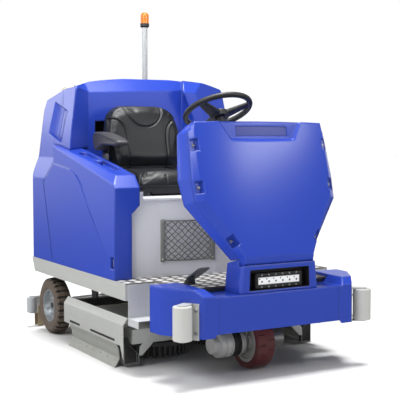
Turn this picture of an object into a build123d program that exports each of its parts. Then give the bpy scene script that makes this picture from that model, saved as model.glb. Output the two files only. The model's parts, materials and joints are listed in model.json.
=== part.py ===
"""Ride-on floor scrubber dryer: chassis, moulded tanks, seat, steering, drive unit, scrub deck and squeegee."""

import math
import os

from build123d import *

# All sizes are in millimetres. "s" is a distance back from the bumper's front face,
# x is positive to the operator's left and z is the height above the ground.

# Shared fits
seam = 0.3
running = 0.05
slide_gap = 0.3
floor_gap = 2.0

# Platform and chassis
half_width = 638.0
platform_top = 457.0
plate = 5.0
platform_rear = 1800.0
well_front = 460.0
well_half = 468.0
wing_clear = 2.0
spine_half = 150.0
spine_depth = 80.0
arm_depth = 46.0
arm_width = 50.0
arm_stations = (500.0, 1010.0, 1370.0, 1745.0)
skirt_height = 86.0
skirt_sheet = 3.0
skirt_lip = 22.0

# Entry steps
step_tread_z = 283.0
step_sheet = 3.0
step_half = 622.0
step_front = 345.0
step_apron = 38.0

# Bumper
bumper_bottom = 237.0
bumper_top = 470.0
bumper_nose_half = 445.0
bumper_end_half = 575.0
bumper_shoulder = 201.0
bumper_tail = 302.0
bumper_cap_half = 363.0
bumper_cap_step = 4.0
bumper_depth = 158.0
bumper_wing = 150.0
bumper_wing_rake = 12.0
bumper_dip_half = 372.0
bumper_dip_top = 433.0
bumper_dip_bottom = 252.0
bumper_wall = 9.0
bumper_beam = 12.0
beam_depth = 100.0

# Bumper rollers
roller_radius = 47.0
roller_height = 165.0
roller_station = 83.0
roller_standoff = 62.0
roller_mid_z = 319.0
roller_pin = 9.0
bracket_foot = 32.0
bracket_sheet = 5.0

# Drive unit under the front of the spine
drive_station = 263.0
drive_radius = 140.0
drive_width = 104.0
drive_tyre_depth = 32.0
drive_slits = 16
drive_slit_depth = 6.0
drive_slit_width = 7.0
drive_slit_length = 44.0
slew_radius = 78.0
slew_height = 20.0
yoke_plate = 12.0
yoke_arm = 13.0
yoke_length = 116.0
drive_axle = 20.0
motor_radius = 68.0
motor_reach = 255.0
hub_cap_reach = 165.0

# Rear wheels
rear_station = 1612.0
rear_radius = 171.0
rear_outer = 614.0
rear_tyre_width = 98.0
rim_radius = 100.0
tread_slits = 30
tread_slit_depth = 9.0
tread_slit_width = 8.0
tread_slit_length = 30.0
axle_radius = 16.0
axle_beam = 50.0
axle_beam_half = 500.0
hanger_x = 300.0
hanger_sheet = 12.0

# Side tanks
tank_front = 590.0
tank_inner = 489.0
tank_foot_inner = 530.0
tank_notch_low = 804.0
tank_notch_high = 844.0
tank_nose_z = 935.0
tank_nose_top = 1000.0
tank_nose_back = 56.0
left_tank_inner = 192.0
tank_round = 14.0
tray_width = 66.0
tray_length = 470.0
tray_depth = 22.0
tray_station = 990.0
tray_x = 545.0
filler_radius = 27.0
filler_height = 24.0
latch_pocket = 46.0

# Upper covers
surround_front = 1300.0
recess_back = 1400.0
roof_half = 530.0
roof_edge_z = 1514.0
roof_mid_z = 1566.0
side_top_half = 546.0
side_foot_half = 602.0
rear_wall = 1815.0
shoulder_low = 955.0
shoulder_high = 1085.0
grip_depth = 25.0
grip_half = 113.0
grip_length = 195.0
grip_station = 1525.0
grip_height = 1320.0
outlet_x = -150.0
outlet_radius = 36.0
outlet_wall = 6.0
outlet_reach = 34.0
outlet_z = 560.0
drain_x = 430.0
drain_radius = 48.0

# Tank lid and beacon
lid_edge = 219.0
lid_x = lid_edge - half_width
lid_station = 1645.0
lid_radius = 75.0
lid_height = 26.0
lid_well = 90.0
lid_knuckle = 8.0
lid_hinge = 60.0
lid_pin = 4.0
mast_station = 1500.0
mast_radius = 17.0
mast_flange = 6.0
mast_foot_z = 1552.0
mast_top = 1888.0
beacon_radius = 28.0
beacon_base_height = 24.0
beacon_dome_height = 70.0

# Operator's place
operator_x = -160.0
box_sheet = 4.0
box_top = 876.0
box_rear = 1430.0
box_fold_x = -362.0
box_nose_x = -40.0
box_side_s = 622.0
box_fold_s = 616.0
box_nose_s = 570.0
box_left_s = 602.0
net_low = 534.0
net_high = 762.0
net_bar = 24.0
net_strand = 4.5
net_columns = 7
net_rows = 6

# Seat
rail_height = 20.0
rail_gauge = 300.0
rail_front = 850.0
rail_rear = 1200.0
pan_height = 30.0
seat_width = 460.0
seat_front = 795.0
seat_rear = 1180.0
cushion_front_height = 68.0
cushion_crown = 14.0
recline = 13.8
back_height = 392.0
back_width = 480.0
back_thickness = 84.0
back_foot_s = 1160.0
back_foot_z = 1014.0
back_pivot_s = 1196.0
back_pivot_z = 936.0
back_shell = 16.0
pad_front = 44.0
pan_inset = 18.0
seat_pin = 8.0
arm_ear = 8.0
arm_pad_width = 72.0
arm_pad_length = 342.0
arm_pad_height = 62.0
arm_pad_top = 1233.0
arm_pivot_s = 1180.0
arm_pivot_z = 1138.0
arm_pin = 9.0

# Front cover, leaning back over the column
cover_lean = 15.0
cover_foot_s = 4.0
cover_foot_z = 613.0
cover_depth = 52.0
cowl_depth = 115.0
cowl_sheet = 6.0
cover_crown_radius = 3300.0
spine_post_half = 110.0
spine_post_top = 560.0
field_low = 585.0
field_low_half = 200.0
field_flare = 0.62
field_low_depth = 15.0
field_high_depth = 7.0
field_rise = 105.0
lip_drop = 36.0
lip_back = 28.0
lip_half = 207.0
name_half = 155.0
name_height = 49.0
name_mid = 641.0
name_sink = 3.0
pocket_width = 36.0
pocket_height = 62.0
pocket_depth = 46.0
pocket_turn = 32.5
bolt_radius = 8.0
column_foot_half = 236.0
column_top_half = 214.0
column_front = 12.0
column_rear = 155.0
light_half = 182.0
light_low = 446.0
light_high = 549.0
light_sink = 60.0
lamp_half = 139.0
lamp_height = 74.0
lamp_setback = 12.0
lamp_cells = 6

# Steering
wheel_station = 349.0
wheel_z = 1334.0
wheel_tilt = 26.7
wheel_radius = 169.0
wheel_grip = 14.5
wheel_dish = 26.0
wheel_hub = 50.0
column_radius = 24.0

# Accelerator pedal
pedal_x = -353.0
pedal_heel_s = 297.0
pedal_heel_z = 474.0
pedal_length = 165.0
pedal_width = 62.0
pedal_sheet = 7.0
pedal_rise = 27.0
pedal_pin = 5.0

# Scrub deck
deck_front = 540.0
deck_rear = 1285.0
deck_half = 560.0
deck_top = 202.0
deck_sheet = 6.0
deck_skirt_low = 126.0
deck_lift = 60.0
guard_reach = 69.0
guard_sheet = 4.0
guard_front = 509.0
guard_rear = 1310.0
guard_bend_z = 237.0
guard_top_z = 273.0
guard_lean = 29.0
guard_arm_stations = (640.0, 910.0, 1180.0)
guard_tab_low = 58.0
guard_tab_length = 38.0
blade_sheet = 6.0
blade_front = 600.0
blade_rear = 1236.0
blade_top = 150.0
blade_waist_in = 22.0
blade_waist_z = 47.0
blade_flare = 5.0
splash_sheet = 5.0
splash_station = 560.0
splash_tuck = 29.0
splash_width = 80.0
splash_low = 22.0
splash_top = 165.0
splash_return = 28.0
brace_sheet = 5.0
brace_foot_z = 64.0
guard_outer = deck_half + guard_reach
guard_top_x = guard_outer - guard_lean
blade_waist_x = guard_outer - blade_waist_in
blade_foot_x = guard_outer + blade_flare
splash_outer = guard_outer - splash_tuck
splash_inner = splash_outer - splash_width
brush_x = 268.0
brush_station = 910.0
brush_radius = 256.0
brush_plate_low = 62.0
brush_plate = 22.0
brush_boss = 34.0
brush_shaft = 14.0
brush_motor_radius = 62.0
brush_motor_height = 140.0
guide_stations = (690.0, 1130.0)
guide_radius = 14.0
guide_collar = 22.0
guide_collar_height = 56.0

# Rear squeegee
squeegee_end_half = 592.0
squeegee_end_s = 1878.0
squeegee_mid_s = 2000.0
squeegee_depth = 58.0
squeegee_low = 92.0
squeegee_high = 138.0
squeegee_blade = 5.0
tail_roller_radius = 27.0
tail_roller_height = 96.0
tail_roller_z = 138.0
tail_roller_pin = 6.0
lift_pivot_s = 1822.0
lift_pivot_z = 330.0
lift_arm_x = 62.0
lift_arm_sheet = 10.0
lift_pin = 11.0

# Inside
battery_half = 285.0
battery_front = 670.0
battery_rear = 1340.0
battery_top = 760.0
vacuum_radius = 75.0
vacuum_height = 170.0
vacuum_x = 120.0
vacuum_station = 1715.0


def roller_place():
    """Centre of the bumper roller on the operator's left, standing off the slanted corner face."""
    run = Vector(bumper_end_half - bumper_nose_half, bumper_shoulder, 0).normalized()
    out = Vector(run.Y, -run.X, 0)
    return Vector(bumper_nose_half, 0, 0) + run * roller_station + out * roller_standoff


roller_front = roller_place().Y - roller_radius
squeegee_tail = squeegee_mid_s + squeegee_depth / 2 + squeegee_blade
origin_s = (roller_front + squeegee_tail) / 2


def back(s):
    """Row Y of a distance measured back from the bumper's front face."""
    return s - origin_s


def block(x0, x1, s0, s1, z0, z1):
    """Upright box between two corners."""
    middle = Pos((x0 + x1) / 2, back((s0 + s1) / 2), (z0 + z1) / 2)
    return middle * Box(x1 - x0, s1 - s0, z1 - z0)


def side_prism(points, x0, x1):
    """Side profile of (s, z) points, carried across from x0 to x1."""
    outline = Polyline(*[(x0, back(s), z) for s, z in points], close=True)
    return extrude(make_face(outline), amount=x1 - x0, dir=(1, 0, 0))


def front_prism(points, s0, s1):
    """Front profile of (x, z) points, carried back from s0 to s1."""
    outline = Polyline(*[(x, back(s0), z) for x, z in points], close=True)
    return extrude(make_face(outline), amount=s1 - s0, dir=(0, 1, 0))


def plan_prism(points, z0, z1):
    """Plan outline of (x, s) points, carried up from z0 to z1."""
    outline = Polyline(*[(x, back(s), z0) for x, s in points], close=True)
    return extrude(make_face(outline), amount=z1 - z0, dir=(0, 0, 1))


def rod(start, end, radius):
    """Round bar between two (x, s, z) points."""
    foot = Vector(start[0], back(start[1]), start[2])
    reach = Vector(end[0], back(end[1]), end[2]) - foot
    seat = Plane(origin=foot, z_dir=reach.normalized())
    return seat * Cylinder(radius, reach.length, align=(Align.CENTER, Align.CENTER, Align.MIN))


def above(first, second, third, reach=2500.0):
    """Slab of space on the upper side of the plane through three (x, s, z) points."""
    a, b, c = [Vector(x, back(s), z) for x, s, z in (first, second, third)]
    normal = (b - a).cross(c - a).normalized()
    if normal.Z < 0:
        normal = normal * -1
    plane = Plane(origin=a, z_dir=normal)
    return plane * Box(reach, reach, reach / 4, align=(Align.CENTER, Align.CENTER, Align.MIN))


def mirrored(shape):
    """The same piece on the other side of the machine."""
    return mirror(shape, about=Plane.YZ)


def pair(shape):
    """Two handed pieces kept in one node."""
    return Compound(children=[shape, mirrored(shape)])


# Chassis and platform


def chassis_frame():
    """Box spine with outrigger arms, bumper beam, axle hangers, deck guide rods and squeegee ears."""
    top = platform_top - plate
    frame = block(-spine_half, spine_half, bumper_depth, platform_rear - 10, top - spine_depth, top)
    beam_half = bumper_nose_half - 70
    frame += block(-beam_half, beam_half, bumper_depth, bumper_depth + bumper_beam, top - beam_depth, top)
    arm_half = half_width - skirt_sheet
    for station in arm_stations:
        frame += block(-arm_half, arm_half, station, station + arm_width, top - arm_depth, top)
    beam_top = rear_radius + axle_beam / 2
    for side in (-1, 1):
        x = side * hanger_x
        cheek = [
            (rear_station - 90, top),
            (rear_station + 90, top),
            (rear_station + 34, beam_top),
            (rear_station - 34, beam_top),
        ]
        frame += side_prism(cheek, x - hanger_sheet / 2, x + hanger_sheet / 2)
    frame += block(-hanger_x, hanger_x, rear_station - 60, rear_station + 60, top - arm_depth, top)
    for station in guide_stations:
        frame += rod((0, station, deck_top - deck_sheet), (0, station, top - spine_depth), guide_radius)
    ear_half = lift_arm_x - slide_gap
    ear = [
        (platform_rear - 60, top - spine_depth),
        (platform_rear - 10, top - spine_depth),
        (lift_pivot_s + 26, lift_pivot_z),
        (lift_pivot_s + 14, lift_pivot_z - 26),
        (lift_pivot_s - 20, lift_pivot_z - 26),
    ]
    for side in (-1, 1):
        inner = side * (ear_half - hanger_sheet)
        outer = side * ear_half
        frame += side_prism(ear, min(inner, outer), max(inner, outer))
    frame += rod((-ear_half, lift_pivot_s, lift_pivot_z), (ear_half, lift_pivot_s, lift_pivot_z), lift_pin)
    reach = lift_arm_x + lift_arm_sheet + 6
    frame += rod((-reach, lift_pivot_s, lift_pivot_z), (reach, lift_pivot_s, lift_pivot_z), lift_pin)
    return frame


def floor_plate():
    """Platform sheet, narrower between the entry steps."""
    wide = half_width - skirt_sheet
    nose = bumper_end_half - bumper_wing - bumper_wing_rake - wing_clear
    front = bumper_depth + bumper_beam + wing_clear
    half = [
        (nose, front),
        (nose, bumper_tail + wing_clear),
        (well_half, bumper_tail + wing_clear),
        (well_half, well_front),
        (wide, well_front),
        (wide, platform_rear),
    ]
    outline = half + [(-x, s) for x, s in reversed(half)]
    return plan_prism(outline, platform_top - plate, platform_top)


def side_skirts():
    """Stainless side sheets with a raked tail and a turned-in lower lip."""
    low = platform_top - skirt_height
    face = [
        (well_front, low),
        (rear_wall - 45, low),
        (rear_wall, platform_top),
        (well_front, platform_top),
    ]
    sheet = side_prism(face, half_width - skirt_sheet, half_width)
    lip = block(
        half_width - skirt_lip, half_width - skirt_sheet, well_front, rear_wall - 45, low, low + skirt_sheet
    )
    nose = block(
        half_width - skirt_lip, half_width - skirt_sheet, well_front, well_front + skirt_sheet, low,
        platform_top - plate,
    )
    return pair(sheet + lip + nose)


def steps():
    """Folded entry steps: riser, tread, side apron, inner sheet and a hook under the outrigger arm."""
    top = platform_top - plate
    riser = block(well_half, step_half, well_front - step_sheet, well_front, step_tread_z - step_sheet, top)
    tread = block(well_half, step_half, step_front, well_front, step_tread_z - step_sheet, step_tread_z)
    apron = block(
        step_half - step_sheet, step_half, step_front, well_front, step_tread_z - step_apron, step_tread_z
    )
    inner = block(
        well_half, well_half + step_sheet, step_front, well_front, step_tread_z - step_sheet, top
    )
    under_arm = top - arm_depth
    hook = block(
        well_half, half_width - skirt_lip - 1, well_front - step_sheet, arm_stations[0] + arm_width,
        under_arm - step_sheet, under_arm,
    )
    return pair(riser + tread + apron + inner + hook)


# Bumper and rollers


def bumper_outline(inset):
    """Half of the bumper's plan: flat nose, slanted corner, square end and a tail."""
    return [
        (0, inset),
        (bumper_nose_half - inset * 0.6, inset),
        (bumper_end_half - inset * 1.1, bumper_shoulder),
        (bumper_end_half - inset * 1.1 + 5, bumper_tail - inset),
        (bumper_end_half - bumper_wing + inset, bumper_tail - inset),
        (bumper_end_half - bumper_wing - bumper_wing_rake + inset, bumper_depth - inset),
        (0, bumper_depth - inset),
    ]


def bumper():
    """Moulded bumper: raised end caps, a lower and slightly sunk middle and an open underside."""
    half = plan_prism(bumper_outline(0), bumper_bottom, bumper_top)
    dip = [
        (0, bumper_top + 1),
        (bumper_dip_half + 44, bumper_top + 1),
        (bumper_dip_half + 6, bumper_dip_top),
        (0, bumper_dip_top),
    ]
    half -= front_prism(dip, -10, bumper_tail + 10)
    rise = [
        (0, bumper_bottom - 1),
        (bumper_dip_half + 12, bumper_bottom - 1),
        (bumper_dip_half, bumper_dip_bottom),
        (0, bumper_dip_bottom),
    ]
    half -= front_prism(rise, -10, bumper_tail + 10)
    half -= block(-1, bumper_cap_half, -10, bumper_cap_step, bumper_bottom - 1, bumper_top + 1)
    hollow = plan_prism(bumper_outline(bumper_wall), bumper_bottom - 1, bumper_dip_top - bumper_wall)
    half -= hollow
    rake = above((0, 0, bumper_top - 34), (100, 0, bumper_top - 34), (0, 46, bumper_top))
    half -= rake
    whole = half + mirrored(half)
    corners = whole.edges().filter_by(Axis.Z).filter_by(lambda e: e.length > 150)
    front = corners.filter_by(lambda e: e.center().Y < back(bumper_tail - 20))
    outer = front.filter_by(lambda e: abs(e.center().X) > bumper_nose_half - 5)
    return fillet(outer, 14)


def roller_frame():
    """Row point of the left roller's axis and the slanted face's outward direction."""
    place = roller_place()
    run = Vector(bumper_end_half - bumper_nose_half, bumper_shoulder, 0).normalized()
    return Vector(place.X, back(place.Y), 0), run, Vector(run.Y, -run.X, 0)


def roller_brackets():
    """Sheet brackets with a back plate on the bumper corner, two ears and the roller's pin."""
    place, run, out = roller_frame()
    half = roller_height / 2
    seat = Plane(origin=place + Vector(0, 0, roller_mid_z), x_dir=run, z_dir=(0, 0, 1))
    inward = 1 if seat.y_dir.dot(out) < 0 else -1
    depth = roller_standoff
    width = roller_radius * 1.1
    tall = roller_height + 2 * bracket_sheet + 2 * slide_gap
    plate_y = inward * (depth - bracket_sheet / 2)
    bracket = seat * Pos(-bracket_foot / 2, plate_y, 0) * Box(width + bracket_foot, bracket_sheet, tall)
    for side in (-1, 1):
        z = side * (half + slide_gap + bracket_sheet / 2)
        bracket += seat * Pos(0, inward * depth / 2, z) * Box(width, depth, bracket_sheet)
        bracket += seat * Pos(0, 0, z) * Cylinder(width / 2, bracket_sheet)
    bracket += seat * Cylinder(roller_pin, tall)
    return pair(bracket)


def bumper_roller():
    """Barrel roller with rounded rims and the pin's bore."""
    place, run, out = roller_frame()
    seat = Plane(origin=place + Vector(0, 0, roller_mid_z))
    barrel = Cylinder(roller_radius, roller_height)
    barrel = fillet(barrel.edges().filter_by(GeomType.CIRCLE), 6)
    barrel -= Cylinder(roller_pin + running, roller_height + 2)
    return seat * barrel


# Drive unit


def slew_ring():
    """Slewing ring bolted under the spine."""
    top = platform_top - plate - spine_depth
    ring = Cylinder(slew_radius, slew_height, align=(Align.CENTER, Align.CENTER, Align.MAX))
    ring -= Cylinder(slew_radius * 0.6, slew_height * 3)
    return Pos(0, back(drive_station), top) * ring


def drive_yoke():
    """Turntable plate and two arms, one with the motor flange, one with the hub bearing."""
    top = platform_top - plate - spine_depth - slew_height - slide_gap
    yoke = Pos(0, back(drive_station), top) * Cylinder(
        slew_radius + 6, yoke_plate, align=(Align.CENTER, Align.CENTER, Align.MAX)
    )
    inner = drive_width / 2 + 9
    half = yoke_length / 2
    arm = [
        (drive_station - half, top - yoke_plate),
        (drive_station + half, top - yoke_plate),
        (drive_station + half - 12, drive_radius - 20),
        (drive_station + 34, drive_radius - 62),
        (drive_station - 34, drive_radius - 62),
        (drive_station - half + 12, drive_radius - 20),
    ]
    for side in (-1, 1):
        low = min(side * inner, side * (inner + yoke_arm))
        yoke += side_prism(arm, low, low + yoke_arm)
    yoke += rod(
        (inner + yoke_arm, drive_station, drive_radius), (hub_cap_reach, drive_station, drive_radius), 52
    )
    bore = inner + yoke_arm + 10
    yoke -= rod(
        (-bore, drive_station, drive_radius), (bore, drive_station, drive_radius), drive_axle + running
    )
    return yoke


def drive_motor():
    """Wheel motor beside the tyre: flange, finned barrel and end cap."""
    inner = -(drive_width / 2 + 9 + yoke_arm)
    flange = inner - 16
    step = -motor_reach + 34
    motor = rod((inner, drive_station, drive_radius), (flange, drive_station, drive_radius), motor_radius - 8)
    motor += rod((flange, drive_station, drive_radius), (step, drive_station, drive_radius), motor_radius)
    grooves = 4
    for i in range(grooves):
        at = step + (flange - step) * (i + 0.7) / grooves
        ring = rod((at, drive_station, drive_radius), (at + 9, drive_station, drive_radius), motor_radius + 1)
        ring -= rod((at - 1, drive_station, drive_radius), (at + 10, drive_station, drive_radius), motor_radius - 5)
        motor -= ring
    motor += rod((step, drive_station, drive_radius), (-motor_reach, drive_station, drive_radius), 46)
    motor -= rod((0, drive_station, drive_radius), (flange - 8, drive_station, drive_radius), drive_axle + 2)
    return motor


def drive_hub():
    """Wheel hub with its axle stubs in the yoke arms."""
    half = drive_width / 2
    core = drive_radius - drive_tyre_depth
    hub = rod((-half + 4, drive_station, drive_radius), (half - 4, drive_station, drive_radius), core)
    for side in (-1, 1):
        face = side * (half - 4)
        sunk = side * (half - 22)
        dish = rod((face, drive_station, drive_radius), (sunk, drive_station, drive_radius), core - 16)
        dish -= rod((face, drive_station, drive_radius), (sunk, drive_station, drive_radius), 44)
        hub -= dish
    reach = half + 9 + yoke_arm
    hub += rod((-reach, drive_station, drive_radius), (reach, drive_station, drive_radius), drive_axle)
    return hub


def drive_tyre():
    """Solid tyre with rounded shoulders and two staggered rows of cross slits."""
    core = drive_radius - drive_tyre_depth
    tyre = Cylinder(drive_radius, drive_width)
    tyre = fillet(tyre.edges().filter_by(GeomType.CIRCLE), 9)
    tyre -= Cylinder(core, drive_width + 2)
    cuts = []
    for i in range(2 * drive_slits):
        side = 1 if i % 2 else -1
        cut = Pos(drive_radius, 0, side * (drive_width - drive_slit_length + 4) / 2) * Box(
            2 * drive_slit_depth, drive_slit_width, drive_slit_length
        )
        cuts.append(Rot(0, 0, 180 * i / drive_slits) * cut)
    tyre -= cuts
    return Pos(0, back(drive_station), drive_radius) * Rot(0, 90, 0) * tyre


# Rear wheels


def rear_axle():
    """Square axle beam with turned stubs for the two wheels."""
    half = axle_beam / 2
    axle = block(
        -axle_beam_half, axle_beam_half, rear_station - half, rear_station + half, rear_radius - half,
        rear_radius + half,
    )
    reach = rear_outer - 24
    axle += rod((-reach, rear_station, rear_radius), (reach, rear_station, rear_radius), axle_radius)
    return axle


def rim():
    """Pressed rim: barrel, dished disc, hub, nave plate and wheel bolts."""
    inner = rear_outer - rear_tyre_width
    width = rear_tyre_width
    barrel = Cylinder(rim_radius, width - 14)
    barrel -= Cylinder(rim_radius - 7, width)
    disc = Pos(0, 0, 6) * Cylinder(rim_radius - 5, 8)
    cone = Pos(0, 0, 14) * Cone(62, 44, 12)
    hub = Pos(0, 0, -12) * Cylinder(34, 54)
    wheel = barrel + disc + cone + hub
    bolts = 5
    for i in range(bolts):
        wheel += Rot(0, 0, 360 * i / bolts) * Pos(76, 0, 10) * extrude(RegularPolygon(10, 6), amount=11)
    hand_holes = 5
    for i in range(hand_holes):
        wheel -= Rot(0, 0, 360 * (i + 0.5) / hand_holes) * Pos(76, 0, 6) * Cylinder(9, 20)
    wheel -= Pos(0, 0, -20) * Cylinder(axle_radius + running, width)
    return Pos((inner + rear_outer) / 2, back(rear_station), rear_radius) * Rot(0, 90, 0) * wheel


def rear_tyre():
    """Solid tyre: crowned tread with staggered shoulder slits."""
    inner = rear_outer - rear_tyre_width
    half = rear_tyre_width / 2
    wall = half - 7
    with_edges = [
        (rim_radius, -wall),
        (rim_radius + 12, -half),
        (rear_radius - 26, -half),
        (rear_radius - 5, -half + 12),
        (rear_radius, 0),
        (rear_radius - 5, half - 12),
        (rear_radius - 26, half),
        (rim_radius + 12, half),
        (rim_radius, wall),
    ]
    section = make_face(Polyline(*[(r, 0, w) for r, w in with_edges], close=True))
    tyre = revolve(section, Axis.Z)
    slits = []
    for i in range(tread_slits):
        for side in (-1, 1):
            turn = 360 * (i + 0.25 * side) / tread_slits
            cut = Pos(rear_radius - 2, 0, side * (half - tread_slit_length / 2 + 2)) * Box(
                2 * tread_slit_depth, tread_slit_width, tread_slit_length
            )
            slits.append(Rot(0, 0, turn) * cut)
    tyre -= slits
    return Pos((inner + rear_outer) / 2, back(rear_station), rear_radius) * Rot(0, 90, 0) * tyre


# Side tanks


def tank_top(s):
    """Height of the side tank's top at a station: it climbs to the rear and flattens."""
    reach = s - tank_front
    return tank_nose_top - 13 + 0.232 * reach - 0.0000475 * reach * reach


def seam_line():
    """Joint between the front covers and the rear tank, from the roof down, as (s, z)."""
    return [
        (1476, roof_mid_z + 40),
        (1483, 1471),
        (1562, 1158),
        (1470, tank_top(1470)),
        (1445, 1045),
        (1611, 931),
        (1496, 587),
        (1463, platform_top),
    ]


def tray_plane(x):
    """Seat of the oval tray on the sloping top."""
    slope = (tank_top(tray_station + 100) - tank_top(tray_station - 100)) / 200
    place = Vector(x, back(tray_station), tank_top(tray_station))
    return Plane(origin=place, x_dir=(0, 1, slope), z_dir=(0, -slope, 1))


def side_tank(inner_top, inner_foot):
    """Side tank on the operator's left, with its nose, shoulder bevel, notch, side crease and latch pocket."""
    rear = [(s - seam, z) for s, z in seam_line()[3:]]
    rear[-1] = (rear[-1][0], platform_top)
    stations = [tank_front + tank_nose_back + (rear[0][0] - tank_front - tank_nose_back) * i / 4 for i in range(4)]
    top = [(s, tank_top(s)) for s in stations]
    profile = [(tank_front, platform_top), (tank_front, tank_nose_z)] + top + rear
    tank = side_prism(profile, inner_top, half_width)
    if inner_foot > inner_top:
        notch = [
            (inner_top - 1, platform_top - 1),
            (inner_foot, platform_top - 1),
            (inner_foot, tank_notch_low),
            (inner_top, tank_notch_high),
            (inner_top - 1, tank_notch_high),
        ]
        tank -= front_prism(notch, tank_front - 10, rear_wall)
    bevel = above(
        (half_width, tank_front, tank_nose_z + 6),
        (half_width, 1420, 1129),
        (half_width - 38, tank_front + 75, tank_top(tank_front + 75)),
    )
    tank -= bevel
    crease = [
        (tank_front - 20, 560),
        (700, 590),
        (952, 836),
        (1048, 948),
        (1106, 989),
        (1188, 1019),
        (1460, 1049),
        (1520, 1300),
        (tank_front - 20, 1300),
    ]
    sheet = side_prism(crease, half_width - 7, half_width + 60)
    hinge = Pos(half_width, 0, 560)
    tank -= hinge * Rot(0, -0.85, 0) * hinge.inverse() * Pos(7, 0, 0) * sheet
    edges = tank.edges().filter_by(Axis.Z)
    nose = edges.filter_by(lambda e: e.center().Y < back(tank_front + 12) and e.length > 150)
    tank = fillet(nose, tank_round)
    pocket = block(half_width - 22, half_width + 10, tank_front + 4, tank_front + 4 + latch_pocket, 515, 576)
    return tank - pocket


def side_tank_right():
    """Slim tank beside the operator, with the oval tray and its filler neck."""
    tank = mirrored(side_tank(tank_inner, tank_foot_inner))
    plane = tray_plane(-tray_x)
    tray = extrude(SlotOverall(tray_length, tray_width), amount=60, both=True)
    tank -= plane * Pos(0, 0, 60 - tray_depth) * tray
    neck = Cylinder(filler_radius - 8, 16, align=(Align.CENTER, Align.CENTER, Align.MIN))
    return tank + plane * Pos(0, 0, -tray_depth) * neck


def side_tank_left():
    """Wide tank on the far side of the seat box."""
    return side_tank(left_tank_inner, left_tank_inner)


def filler_cap():
    """Knurled screw cap standing in the tray."""
    plane = tray_plane(-tray_x)
    cap = Cylinder(filler_radius, filler_height, align=(Align.CENTER, Align.CENTER, Align.MIN))
    cap = fillet(cap.edges().group_by(Axis.Z)[-1], 5)
    knurls = 12
    flute = Pos(filler_radius + 2, 0, 0) * Cylinder(4, 60)
    cap -= [Rot(0, 0, 360 * i / knurls) * flute for i in range(knurls)]
    bore = Cylinder(filler_radius - 8 + running, 16 + slide_gap, align=(Align.CENTER, Align.CENTER, Align.MIN))
    return plane * Pos(0, 0, slide_gap - tray_depth) * (cap - bore)


# Upper covers


def upper_section(grow):
    """Front section of the upper covers: leaning sides and a bowed roof."""
    low = shoulder_high - 60
    left = Polyline(
        (-roof_half, 0, roof_edge_z),
        (-side_top_half, 0, roof_edge_z - 20),
        (-side_foot_half, 0, low),
        (side_foot_half, 0, low),
        (side_top_half, 0, roof_edge_z - 20),
        (roof_half, 0, roof_edge_z),
    )
    roof = ThreePointArc((roof_half, 0, roof_edge_z), (0, 0, roof_mid_z), (-roof_half, 0, roof_edge_z))
    face = make_face(left + roof)
    return extrude(face, amount=grow, dir=(0, 1, 0), both=True)


def grip_scoops():
    """Cutters of the shallow hand scoops across the joint, one on each side."""
    radius = (grip_half * grip_half + grip_depth * grip_depth) / (2 * grip_depth)
    top = roof_edge_z - 20
    lean = (side_foot_half - side_top_half) / (top - shoulder_high + 60)
    face = side_top_half + lean * (top - grip_height)
    seat = Plane(
        origin=(grip_depth - face - radius, back(grip_station), grip_height), z_dir=(lean, -0.293, 1)
    )
    drum = seat * Cylinder(radius, grip_length)
    return [drum, mirrored(drum)]


def roof_band():
    """Space in front of the roof's sloping band, which falls to the recess's back wall and the near wing."""
    plan = [(-640, 1290), (157, 1290), (212, recess_back), (240, 1470), (-640, 1470)]
    middle = above((-427, recess_back, 1471), (212, recess_back, 1498), (-427, recess_back + 52, 1549))
    wing = above((-427, recess_back, 1471), (-545, surround_front, 1497), (-440, recess_back + 52, 1549))
    return plan_prism(plan, 1440, 1700) & middle & wing


def seat_surround():
    """Cover around the backrest: bowed roof with a sloping band, flared recess, hand hole, bevelled far ear and a lower back panel."""
    joint = [(s - seam, z) for s, z in seam_line()[:4]]
    profile = [
        (surround_front, tank_top(surround_front) + seam),
        (surround_front, 1480),
        (surround_front + 54, 1542),
        (surround_front + 120, roof_mid_z + 4),
        (joint[0][0], roof_mid_z - 12),
        joint[1],
        (joint[2][0], joint[2][1] + seam),
        (joint[3][0], joint[3][1] + seam),
    ]
    cover = side_prism(profile, -half_width, half_width) & upper_section(2500)
    front = back(surround_front) - 1
    mouth = Polyline(
        (-545, front, 1490), (163, front, 1487), (242, front, 1312), (242, front, 860), (-596, front, 860),
        (-583, front, 1240), close=True,
    )
    deep = back(recess_back)
    rear = Polyline(
        (-427, deep, 1471), (212, deep, 1498), (208, deep, 1312), (208, deep, 860), (-427, deep, 860),
        (-427, deep, 1240), close=True,
    )
    cover -= loft([make_face(mouth), make_face(rear)], ruled=True)
    cover -= roof_band()
    cover -= above((-545, surround_front, 1497), (-555, 1476, 1484), (-355, 1476, 1550))
    ear = Plane(
        origin=(222, back(surround_front), 1548), z_dir=(0.479, -0.854, 0.201)
    ) * Box(2000, 2000, 400, align=(Align.CENTER, Align.CENTER, Align.MIN))
    cover -= ear
    panel = block(
        -tank_inner + seam, left_tank_inner - seam, recess_back, box_rear, box_top, 1200
    )
    duct = block(-385, -304, recess_back - 5, recess_back + 90, 1232, 1300)
    mast_room = rod((0, mast_station, 1400), (0, mast_station, 1600), mast_radius + mast_flange + seam)
    return cover + panel - duct - mast_room - grip_scoops()


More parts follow.
